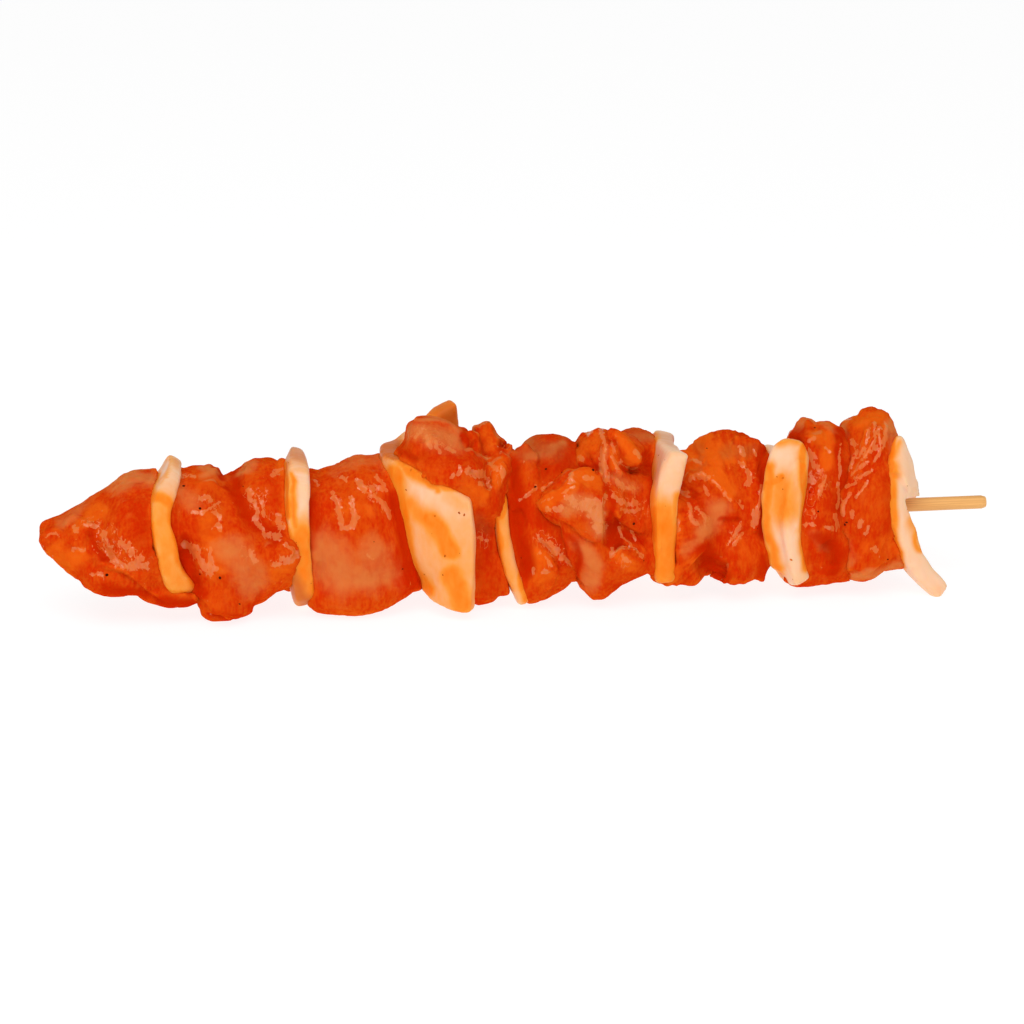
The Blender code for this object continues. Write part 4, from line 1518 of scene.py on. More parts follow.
def third_chunk() -> ChickenChunk:
    """Returns the smooth barrel-shaped chunk with its pale belly."""
    strokes = (
        fold(Form.RIDGE, 0.35, 0.25, (-40.4, 24.8), (-39.2, 21.5), (-38.4, 17.5)),
        fold(Form.RIDGE, 0.35, 0.25, (-36.6, 24.0), (-36.0, 19.5), (-36.4, 16.6)),
        fold(Form.RIDGE, 0.7, 0.4, (-34.9, 27.0), (-32.8, 24.6), (-30.8, 22.4), (-28.2, 19.0)),
        fold(Form.GROOVE, 1.2, 0.35, (-44.0, 18.6), (-39.6, 15.6), (-34.0, 14.2), (-28.6, 16.0)),
        fold(Form.GROOVE, 0.3, 0.12, (-31.0, 32.0), (-29.6, 25.0), (-28.4, 19.0)),
        fold(Form.GROOVE, 0.3, 0.12, (-33.0, 32.5), (-31.8, 27.0), (-30.4, 21.0)),
        fold(Form.GROOVE, 0.3, 0.12, (-29.6, 31.0), (-28.2, 25.0), (-27.2, 20.0)),
        fold(Form.GROOVE, 1.0, 0.4, (-44.2, 10.0), (-43.4, 4.0), (-41.4, -0.5)),
    )
    patches = (
        patch(Tint.PALE, 7.8, 0.9, (-42.0, 10.6), (-38.5, 6.2), (-34.0, 5.6)),
        patch(Tint.PALE, 5.4, 0.75, (-33.0, 11.0), (-29.5, 6.0)),
        patch(Tint.PALE, 2.6, 0.5, (-38.0, 31.4), (-33.0, 32.0), (-28.6, 31.0)),
        patch(Tint.BRIGHT_AND_PAINTED_LIGHT, 2.4, 0.4, (-42.4, 0.0), (-37.0, -3.6), (-30.0, -1.4)),
        patch(Tint.BRIGHT_AND_PAINTED_LIGHT, 3.0, 0.6, (-38.0, 21.5), (-33.0, 20.0)),
        patch(Tint.DEEP_AND_PAINTED_SHADE, 3.4, 0.9, (-26.6, 24.0), (-25.0, 13.0), (-23.6, 4.0)),
        patch(Tint.DEEP_AND_PAINTED_SHADE, 1.6, 0.6, (-44.2, 24.0), (-44.4, 12.0)),
        patch(Tint.WRINKLED, 1.6, 0.8, (-39.6, 23.5), (-38.8, 18.0)),
        patch(Tint.WRINKLED, 1.8, 0.8, (-34.0, 26.0), (-28.6, 20.0)),
        patch(Tint.WET_AND_PAINTED_HIGHLIGHT, 1.1, 1.0, (-40.7, 24.4), (-39.8, 22.0), (-39.0, 18.8), (-38.8, 17.0)),
        patch(Tint.WET_AND_PAINTED_HIGHLIGHT, 1.1, 1.0, (-36.8, 23.2), (-36.0, 20.0), (-36.4, 17.0)),
        patch(Tint.WET_AND_PAINTED_HIGHLIGHT, 0.9, 1.0, (-38.8, 17.0), (-36.6, 16.6)),
        patch(Tint.WET_AND_PAINTED_HIGHLIGHT, 1.1, 1.0, (-34.9, 26.8), (-33.4, 24.8), (-31.6, 23.0), (-29.8, 21.4), (-28.3, 18.8)),
        patch(Tint.WET_AND_PAINTED_HIGHLIGHT, 1.0, 1.0, (-32.6, 25.6), (-30.2, 24.8)),
        patch(Tint.WET_AND_PAINTED_HIGHLIGHT, 0.8, 1.0, (-31.0, 28.0), (-29.0, 24.6)),
        patch(Tint.WET_AND_PAINTED_HIGHLIGHT, 0.7, 1.0, (-38.6, 28.2), (-37.6, 27.2)),
        patch(Tint.WET_AND_PAINTED_HIGHLIGHT, 0.6, 1.0, (-44.6, 27.4), (-43.8, 26.6)),
        patch(Tint.WET_AND_PAINTED_HIGHLIGHT, 0.5, 0.9, (-33.4, 10.6), (-32.0, 9.2)),
    )
    nudges = (nudge(-24.6, 5.0, 2.2, 0.0, 4.5), nudge(-43.6, -1.0, -1.4, -0.4, 3.0))
    return ChickenChunk(
        "chicken_3",
        3,
        Fibres(-72.0, 1.1, 0.06),
        (),
        strokes,
        patches,
        nudges,
        softness=14,
        crease_depth=0.25,
        lump_height=0.22,
    )


def crest_chunk() -> ChickenChunk:
    """Returns the chunk that hangs over the large onion piece: a dome, a hole, a peak and two knobs."""
    lumps = (
        Flap(((-26.8, 33.0, 0.6), (-25.1, 36.0, 0.6), (-22.3, 40.9, 0.2), (-18.1, 40.4, 0.4), (-14.2, 38.0, 0.4), (-12.6, 36.0, 0.3), (-10.9, 32.6, 0.5), (-12.2, 28.6, 0.8), (-17.7, 27.1, 0.8), (-23.7, 30.2, 0.8), (-19.4, 35.3, 1.8), (-23.2, 33.0, 1.8))),
        Flap(((-10.4, 37.0, 0.2), (-7.0, 39.6, 0.1), (-5.3, 36.8, 0.3), (-3.2, 34.7, 0.3), (-2.3, 30.9, 0.6), (-4.9, 31.5, 1.4), (-7.9, 33.8, 1.4), (-10.0, 32.6, 0.8))),
        Flap(((-6.6, 29.3, 1.0), (-4.9, 31.0, 1.0), (-2.9, 29.2, 1.2), (-2.7, 26.0, 1.0), (-5.1, 23.9, 0.8), (-6.8, 25.5, 1.2), (-4.9, 27.9, 2.0))),
        Flap(((-13.9, 29.1, 0.8), (-10.0, 29.4, 1.0), (-7.0, 24.0, 1.0), (-7.5, 21.3, 0.5), (-9.0, 20.0, 0.4), (-11.3, 21.9, 0.6), (-14.8, 25.2, 0.6), (-10.5, 25.4, 1.6))),
        Knob((-11.3, 36.6), (2.1, 1.8, 2.4), 0.0, 1.6),
        Knob((-3.0, 33.2), (1.5, 1.5, 1.4), 0.0, 0.6),
    )
    strokes = (
        fold(Form.RIDGE, 0.6, 0.5, (-25.0, 37.6), (-22.5, 41.0), (-18.4, 39.9), (-15.2, 38.2), (-13.4, 36.9)),
        fold(Form.GROOVE, 0.6, 0.7, (-13.2, 36.4), (-12.2, 34.0), (-10.6, 33.8), (-9.8, 35.6)),
        fold(Form.GROOVE, 1.1, 1.3, (-3.6, 34.6), (-4.0, 33.2)),
        fold(Form.RIDGE, 0.5, 0.4, (-5.0, 32.4), (-3.0, 30.6), (-1.2, 29.8)),
        fold(Form.GROOVE, 0.8, 0.9, (-11.6, 28.7), (-9.4, 27.4), (-7.4, 25.0), (-6.8, 23.9)),
        fold(Form.GROOVE, 0.6, 0.5, (-7.4, 30.8), (-7.7, 28.2), (-7.0, 25.6)),
        fold(Form.RIDGE, 0.5, 0.35, (-15.4, 25.6), (-12.0, 25.2), (-9.0, 21.8)),
        fold(Form.RIDGE, 0.8, 0.5, (-26.4, 32.4), (-23.6, 30.4), (-19.5, 28.8)),
        fold(Form.GROOVE, 0.5, 0.3, (-14.6, 27.2), (-13.5, 28.4), (-13.2, 29.4)),
        fold(Form.RIDGE, 0.6, 0.4, (-9.6, 36.0), (-8.0, 39.0), (-6.2, 36.6), (-4.6, 33.8)),
    )
    patches = (
        patch(Tint.PALE, 4.4, 0.8, (-22.0, 37.0), (-19.0, 35.4), (-15.6, 34.8)),
        patch(Tint.PALE, 1.2, 0.8, (-23.2, 40.4), (-18.4, 39.9), (-13.4, 36.9)),
        patch(Tint.DEEP_AND_PAINTED_SHADE, 3.2, 0.3, (-24.6, 33.0), (-21.0, 31.5), (-15.0, 30.5), (-11.0, 31.0)),
        patch(Tint.BRIGHT_AND_PAINTED_LIGHT, 2.6, 1.0, (-5.4, 29.6), (-5.2, 25.4)),
        patch(Tint.BRIGHT_AND_PAINTED_LIGHT, 2.4, 0.7, (-11.0, 24.8), (-8.4, 22.4)),
        patch(Tint.BRIGHT_AND_PAINTED_LIGHT, 2.6, 0.6, (-7.4, 37.4), (-6.6, 34.6)),
        patch(Tint.DEEP_AND_PAINTED_SHADE, 1.9, 1.0, (-12.6, 36.2), (-12.2, 35.4)),
        patch(Tint.DEEP_AND_PAINTED_SHADE, 1.5, 0.9, (-3.7, 34.6), (-3.9, 33.0)),
        patch(Tint.DEEP_AND_PAINTED_SHADE, 1.4, 0.7, (-26.2, 32.8), (-24.0, 31.0)),
        patch(Tint.DEEP_AND_PAINTED_SHADE, 5.0, 0.45, (-9.6, 17.0), (-8.4, 9.0), (-7.0, 2.0)),
        patch(Tint.BROWN, 2.0, 0.5, (-9.6, 17.4), (-8.8, 14.6)),
        patch(Tint.PALE, 1.6, 0.5, (-2.4, 31.4), (-0.6, 31.8)),
        patch(Tint.WRINKLED, 4.0, 1.0, (-22.0, 37.0), (-17.5, 35.0)),
        patch(Tint.WRINKLED, 2.2, 0.8, (-5.0, 28.6), (-4.6, 25.4)),
        patch(Tint.WRINKLED, 2.4, 0.8, (-9.0, 14.0), (-8.6, 11.0)),
        patch(Tint.WET_AND_PAINTED_HIGHLIGHT, 0.7, 1.0, (-20.6, 36.6), (-19.8, 33.8)),
        patch(Tint.WET_AND_PAINTED_HIGHLIGHT, 0.9, 1.0, (-18.6, 35.0), (-17.8, 32.8)),
        patch(Tint.WET_AND_PAINTED_HIGHLIGHT, 0.6, 1.0, (-22.9, 36.4), (-21.4, 38.2)),
        patch(Tint.WET_AND_PAINTED_HIGHLIGHT, 0.7, 1.0, (-16.2, 33.6), (-14.6, 32.6)),
        patch(Tint.WET_AND_PAINTED_HIGHLIGHT, 0.7, 1.0, (-15.2, 27.0), (-13.6, 28.2), (-13.2, 29.4)),
        patch(Tint.WET_AND_PAINTED_HIGHLIGHT, 1.2, 1.0, (-11.8, 28.8), (-9.8, 27.6), (-8.8, 28.0)),
        patch(Tint.WET_AND_PAINTED_HIGHLIGHT, 0.7, 1.0, (-8.6, 27.2), (-7.2, 25.0), (-6.8, 23.9)),
        patch(Tint.WET_AND_PAINTED_HIGHLIGHT, 1.0, 1.0, (-6.8, 30.0), (-5.6, 28.8)),
        patch(Tint.WET_AND_PAINTED_HIGHLIGHT, 1.0, 1.0, (-4.6, 29.0), (-4.4, 27.0)),
        patch(Tint.WET_AND_PAINTED_HIGHLIGHT, 0.6, 1.0, (-9.2, 26.0), (-8.6, 25.4)),
        patch(Tint.WET_AND_PAINTED_HIGHLIGHT, 0.7, 1.0, (-9.6, 13.4), (-7.6, 12.6)),
        patch(Tint.WET_AND_PAINTED_HIGHLIGHT, 0.5, 1.0, (-4.4, 34.2), (-3.9, 33.6)),
    )
    nudges = (
        Nudge((-0.4, 30.0), (-1.5, 0.0), 3.2),
        Nudge((-0.6, 24.8), (-2.2, 1.2), 3.2),
        Nudge((-3.6, 38.0), (-1.6, -1.2), 2.4),
        Nudge((-27.2, 36.0), (1.7, 0.0), 3.0),
        Nudge((-11.2, 36.0), (0.0, 1.9), 2.6),
    )
    return ChickenChunk(
        "chicken_4", 4, Fibres(-50.0, 1.1, 0.05), lumps, strokes, patches, nudges, softness=6, crease_depth=0.3
    )


def middle_chunk() -> ChickenChunk:
    """Returns the dark chunk left of the centre, mostly behind the pointed flap of the next."""
    lumps = (
        Flap(((0.7, 7.4, 0.3), (2.5, 10.7, 0.4), (7.3, 6.2, 1.0), (7.9, 3.6, 0.8), (5.1, 0.3, 0.3), (1.4, -0.7, 0.2), (4.4, 5.9, 1.8))),
        Flap(
            (
                (-3.0, 31.0, -1.6), (0.6, 34.2, -0.8), (3.4, 31.0, 0.2), (3.4, 24.0, 0.2), (1.0, 17.0, 0.2),
                (-2.6, 21.6, -1.6), (-4.0, 26.0, -2.0),
            ),
            4.0, 3.5, True,
        ),
    )
    strokes = (
        fold(Form.RIGHT_OVER, 3.0, 0.8, (2.6, 13.2), (5.6, 9.0), (7.5, 5.4), (6.6, 2.4), (4.6, 0.2)),
        fold(Form.RIDGE, 0.5, 0.4, (3.6, 13.6), (6.6, 10.4), (9.0, 6.8)),
        fold(Form.RIDGE, 0.4, 0.3, (5.0, 14.0), (8.0, 10.0)),
        fold(Form.RIDGE, 0.5, 0.3, (-0.8, 21.6), (2.6, 24.2)),
        fold(Form.RIDGE, 0.4, 0.4, (4.2, 23.0), (5.4, 24.9), (7.2, 24.6)),
        fold(Form.GROOVE, 1.6, 0.6, (-1.6, 30.0), (-0.6, 22.0), (0.0, 14.0)),
        fold(Form.GROOVE, 1.0, 0.5, (1.0, 28.6), (5.6, 29.6), (10.0, 32.4)),
    )
    patches = (
        patch(Tint.BROWN, 3.6, 0.55, (0.4, 32.4), (4.2, 32.6), (8.0, 31.4)),
        patch(Tint.PALE, 2.0, 0.7, (2.0, 31.4), (5.4, 31.8), (8.6, 33.6)),
        patch(Tint.DEEP_AND_PAINTED_SHADE, 3.0, 1.0, (-2.0, 30.0), (-1.4, 22.0), (-0.8, 14.0), (0.4, 5.0)),
        patch(Tint.DEEP_AND_PAINTED_SHADE, 3.4, 0.6, (5.0, 27.4), (10.0, 30.0), (12.0, 34.0)),
        patch(Tint.DEEP_AND_PAINTED_SHADE, 3.6, 0.6, (4.0, 18.0), (9.0, 14.0), (10.8, 8.0)),
        patch(Tint.BRIGHT_AND_PAINTED_LIGHT, 3.8, 0.8, (3.0, 8.6), (3.8, 3.4)),
        patch(Tint.WRINKLED, 2.8, 1.0, (3.6, 13.4), (6.6, 10.4), (8.6, 7.6)),
        patch(Tint.WET_AND_PAINTED_HIGHLIGHT, 0.7, 1.0, (-0.6, 21.4), (1.2, 23.0), (2.6, 24.2)),
        patch(Tint.WET_AND_PAINTED_HIGHLIGHT, 0.9, 1.0, (4.4, 23.6), (6.8, 24.9)),
        patch(Tint.WET_AND_PAINTED_HIGHLIGHT, 1.1, 1.0, (5.4, 11.4), (8.2, 8.8)),
        patch(Tint.WET_AND_PAINTED_HIGHLIGHT, 0.7, 1.0, (3.4, 13.2), (4.6, 11.8)),
        patch(Tint.WET_AND_PAINTED_HIGHLIGHT, 0.7, 1.0, (3.8, 9.8), (6.2, 6.2)),
        patch(Tint.WET_AND_PAINTED_HIGHLIGHT, 0.8, 1.0, (8.6, 8.2), (10.6, 6.2)),
        patch(Tint.WET_AND_PAINTED_HIGHLIGHT, 0.8, 1.0, (2.2, 5.6), (2.6, 4.6)),
        patch(Tint.WET_AND_PAINTED_HIGHLIGHT, 1.1, 1.0, (4.6, 5.2), (5.2, 4.6)),
        patch(Tint.WET_AND_PAINTED_HIGHLIGHT, 0.5, 1.0, (-0.4, 3.6), (0.4, 0.4)),
    )
    return ChickenChunk("chicken_5", 5, Fibres(60.0, 1.3, 0.05), lumps, strokes, patches)


def star_chunk() -> ChickenChunk:
    """Returns the chunk at the centre: the pointed flap to the left and curled strips at the top."""
    lumps = (
        Flap(((2.9, 20.7, 0.8), (5.7, 23.0, 0.6), (8.5, 25.8, 0.6), (9.8, 27.8, 0.3), (13.7, 27.6, 0.3), (16.3, 26.7, 0.3), (18.0, 23.0, 0.6), (17.9, 19.8, 2.0), (14.6, 20.6, 2.6), (11.1, 21.7, 2.6), (7.2, 20.5, 1.6))),
        Flap(((3.1, 20.4, 0.8), (7.2, 20.5, 1.6), (11.1, 21.7, 2.6), (14.6, 20.6, 2.6), (18.1, 21.6, 2.0), (17.9, 11.0, 1.0), (16.4, 11.7, 0.8), (13.3, 14.8, 0.6), (8.5, 18.0, 0.6), (5.5, 18.8, 0.6))),
        Flap(((8.1, 17.5, 0.2), (13.5, 15.0, 0.8), (17.7, 11.0, 0.8), (18.5, 3.6, 0.8), (17.6, -1.6, 0.2), (14.8, -0.1, 0.2), (11.2, 4.0, 0.3), (9.4, 10.9, 0.3), (14.7, 7.2, 1.4))),
        Flap(((18.2, 9.4, 0.3), (20.6, 9.1, 1.6), (26.3, 6.5, 0.8), (25.9, 4.9, 0.6), (20.0, -0.3, 0.3), (17.4, 2.5, 0.3), (21.7, 6.5, 2.0))),
        Flap(((18.5, 24.3, 0.5), (19.4, 21.1, 1.6), (22.9, 19.2, 1.8), (25.5, 20.4, 1.2), (26.7, 24.0, 0.5), (25.4, 26.3, 0.3), (21.0, 26.9, 0.5), (27.3, 13.3, 0.6), (25.6, 13.9, 0.8), (21.6, 16.5, 1.0), (18.5, 19.6, 0.8))),
        Flap(((10.8, 28.7, 0.3), (12.1, 32.2, 0.6), (14.7, 36.3, 0.3), (16.2, 37.1, 0.2), (17.5, 36.4, 0.8), (18.2, 32.0, 1.4), (18.0, 27.5, 1.2), (17.2, 23.5, 0.6), (14.1, 28.5, 0.6))),
        Knob((21.8, 32.7), (1.9, 1.8, 5.0), 42.0, 0.2),
        Knob((19.7, 29.0), (1.2, 1.3, 3.2), 28.0, 0.0),
    )
    strokes = (
        fold(Form.RIGHT_OVER, 3.0, 0.9, (2.8, 20.4), (5.4, 22.4), (8.1, 23.7), (9.8, 25.8), (11.0, 27.5), (14.6, 27.6), (17.0, 25.4)),
        fold(Form.LEFT_OVER, 3.0, 1.0, (2.8, 20.0), (5.9, 18.4), (10.2, 15.7), (13.5, 12.4), (17.4, 10.8)),
        fold(Form.RIDGE, 0.6, 0.4, (5.0, 20.0), (9.6, 19.4), (13.0, 15.6), (17.0, 11.6)),
        fold(Form.GROOVE, 0.9, 0.9, (18.9, 24.4), (18.3, 19.0), (18.6, 13.6), (18.0, 9.4)),
        fold(Form.RIDGE, 0.9, 0.8, (17.0, 36.4), (17.8, 33.0), (17.6, 28.4), (18.6, 24.6)),
        fold(Form.GROOVE, 0.7, 0.8, (19.2, 35.4), (19.8, 32.0), (21.4, 28.4), (23.6, 27.2), (25.4, 27.6)),
        fold(Form.LEFT_OVER, 2.4, 0.9, (18.9, 18.6), (20.6, 16.6), (23.0, 14.4), (26.8, 12.2)),
        fold(Form.RIDGE, 0.5, 0.6, (20.6, 14.6), (22.2, 11.2), (24.4, 8.6), (26.6, 6.4)),
        fold(Form.RIDGE, 0.5, 0.5, (23.6, 13.2), (25.2, 10.4), (26.8, 8.0)),
        fold(Form.RIGHT_OVER, 2.2, 0.7, (18.4, 6.0), (20.4, 8.6), (22.2, 9.6), (26.0, 6.4)),
        fold(Form.GROOVE, 1.0, 0.8, (11.2, 12.0), (11.6, 8.0), (11.2, 3.6), (12.4, 0.4)),
        fold(Form.GROOVE, 0.35, 0.25, (22.4, 37.0), (26.6, 36.0)),
        fold(Form.GROOVE, 0.35, 0.25, (24.6, 34.4), (28.4, 33.2)),
        fold(Form.GROOVE, 0.7, 0.5, (13.0, 31.6), (15.0, 28.8), (16.8, 26.6)),
    )
    patches = (
        patch(Tint.BRIGHT_AND_PAINTED_LIGHT, 3.2, 1.0, (4.4, 20.6), (9.0, 22.6), (12.6, 25.4), (16.0, 24.0)),
        patch(Tint.PALE, 3.0, 0.9, (10.6, 19.8), (14.4, 18.4), (16.8, 14.0)),
        patch(Tint.PALE, 3.4, 0.9, (12.6, 10.6), (14.4, 6.4), (14.6, 2.4)),
        patch(Tint.PALE, 1.4, 0.7, (17.6, 32.0), (18.0, 26.6)),
        patch(Tint.BRIGHT_AND_PAINTED_LIGHT, 2.4, 1.0, (21.0, 35.0), (22.4, 32.6), (24.0, 30.0)),
        patch(Tint.BRIGHT_AND_PAINTED_LIGHT, 1.4, 1.0, (19.4, 31.0), (20.8, 27.8)),
        patch(Tint.BRIGHT_AND_PAINTED_LIGHT, 3.0, 0.7, (12.4, 31.4), (15.4, 34.6)),
        patch(Tint.BRIGHT_AND_PAINTED_LIGHT, 2.6, 0.8, (20.2, 7.4), (24.4, 5.6)),
        patch(Tint.PALE, 2.2, 0.6, (21.4, 25.6), (23.8, 23.6)),
        patch(Tint.BROWN, 2.6, 0.45, (23.6, 36.4), (27.8, 34.6)),
        patch(Tint.PALE, 1.6, 0.6, (23.6, 35.6), (27.8, 33.6)),
        patch(Tint.DEEP_AND_PAINTED_SHADE, 1.8, 1.0, (20.0, 15.0), (19.2, 10.4), (22.6, 12.6), (26.6, 10.6)),
        patch(Tint.DEEP_AND_PAINTED_SHADE, 1.4, 0.9, (18.9, 23.6), (18.5, 18.0), (18.6, 13.0)),
        patch(Tint.DEEP_AND_PAINTED_SHADE, 1.4, 0.8, (11.2, 12.4), (11.6, 7.6), (11.0, 3.4)),
        patch(Tint.DEEP_AND_PAINTED_SHADE, 2.4, 0.8, (22.0, 1.0), (26.6, 1.6)),
        patch(Tint.DEEP_AND_PAINTED_SHADE, 1.6, 0.8, (26.4, 30.6), (27.4, 26.0), (27.6, 20.0)),
        patch(Tint.WRINKLED, 2.6, 1.0, (11.4, 20.0), (15.0, 17.4), (16.6, 14.0)),
        patch(Tint.WRINKLED, 4.0, 1.0, (20.6, 25.0), (23.4, 21.4), (25.6, 17.8)),
        patch(Tint.WRINKLED, 1.6, 1.0, (19.4, 34.0), (19.6, 31.0)),
        patch(Tint.WRINKLED, 2.2, 0.8, (20.6, 6.4), (23.0, 6.0)),
        patch(Tint.WET_AND_PAINTED_HIGHLIGHT, 1.8, 1.0, (10.2, 20.8), (12.6, 19.4), (15.2, 17.6), (16.6, 14.2)),
        patch(Tint.WET_AND_PAINTED_HIGHLIGHT, 1.5, 1.0, (13.6, 20.2), (16.6, 19.6), (17.2, 15.0)),
        patch(Tint.WET_AND_PAINTED_HIGHLIGHT, 1.0, 1.0, (5.6, 19.2), (8.4, 18.8)),
        patch(Tint.WET_AND_PAINTED_HIGHLIGHT, 1.0, 1.0, (10.4, 26.8), (10.3, 25.4)),
        patch(Tint.WET_AND_PAINTED_HIGHLIGHT, 0.8, 1.0, (13.6, 26.0), (14.8, 25.7)),
        patch(Tint.WET_AND_PAINTED_HIGHLIGHT, 0.6, 1.0, (8.8, 22.6), (11.0, 24.0)),
        patch(Tint.WET_AND_PAINTED_HIGHLIGHT, 0.5, 1.0, (4.6, 20.8), (6.6, 21.8)),
        patch(Tint.WET_AND_PAINTED_HIGHLIGHT, 1.4, 1.0, (17.0, 31.6), (17.2, 28.6), (18.0, 25.4)),
        patch(Tint.WET_AND_PAINTED_HIGHLIGHT, 0.7, 1.0, (16.9, 36.6), (17.4, 34.4), (18.0, 32.0)),
        patch(Tint.WET_AND_PAINTED_HIGHLIGHT, 0.7, 1.0, (13.8, 35.6), (14.8, 36.4)),
        patch(Tint.WET_AND_PAINTED_HIGHLIGHT, 0.7, 1.0, (12.2, 30.6), (12.4, 30.0)),
        patch(Tint.WET_AND_PAINTED_HIGHLIGHT, 0.7, 1.0, (19.2, 33.4), (19.8, 31.6)),
        patch(Tint.WET_AND_PAINTED_HIGHLIGHT, 0.8, 1.0, (19.4, 30.4), (20.6, 28.0)),
        patch(Tint.WET_AND_PAINTED_HIGHLIGHT, 0.9, 1.0, (24.0, 31.4), (25.2, 30.4)),
        patch(Tint.WET_AND_PAINTED_HIGHLIGHT, 0.5, 1.0, (21.0, 29.4), (22.4, 27.8), (24.4, 27.6)),
        patch(Tint.WET_AND_PAINTED_HIGHLIGHT, 1.3, 1.0, (19.6, 21.8), (21.6, 20.4), (24.6, 19.6)),
        patch(Tint.WET_AND_PAINTED_HIGHLIGHT, 0.9, 1.0, (20.4, 25.0), (22.4, 23.4), (24.6, 23.2)),
        patch(Tint.WET_AND_PAINTED_HIGHLIGHT, 0.9, 1.0, (21.4, 18.6), (23.8, 17.8), (25.8, 18.4)),
        patch(Tint.WET_AND_PAINTED_HIGHLIGHT, 0.7, 1.0, (20.8, 14.4), (21.4, 12.4), (24.2, 9.6), (25.8, 7.8)),
        patch(Tint.WET_AND_PAINTED_HIGHLIGHT, 0.5, 1.0, (23.6, 13.6), (24.6, 11.2)),
        patch(Tint.WET_AND_PAINTED_HIGHLIGHT, 0.8, 1.0, (19.6, 9.4), (19.2, 8.0)),
        patch(Tint.WET_AND_PAINTED_HIGHLIGHT, 0.7, 1.0, (22.0, 8.0), (23.0, 6.4)),
        patch(Tint.WET_AND_PAINTED_HIGHLIGHT, 0.5, 1.0, (17.9, 21.8), (17.2, 19.2)),
    )
    return ChickenChunk(
        "chicken_6", 6, Fibres(-25.0, 1.0, 0.06), lumps, strokes, patches, softness=6, crease_depth=0.2, lump_height=0.2
    )


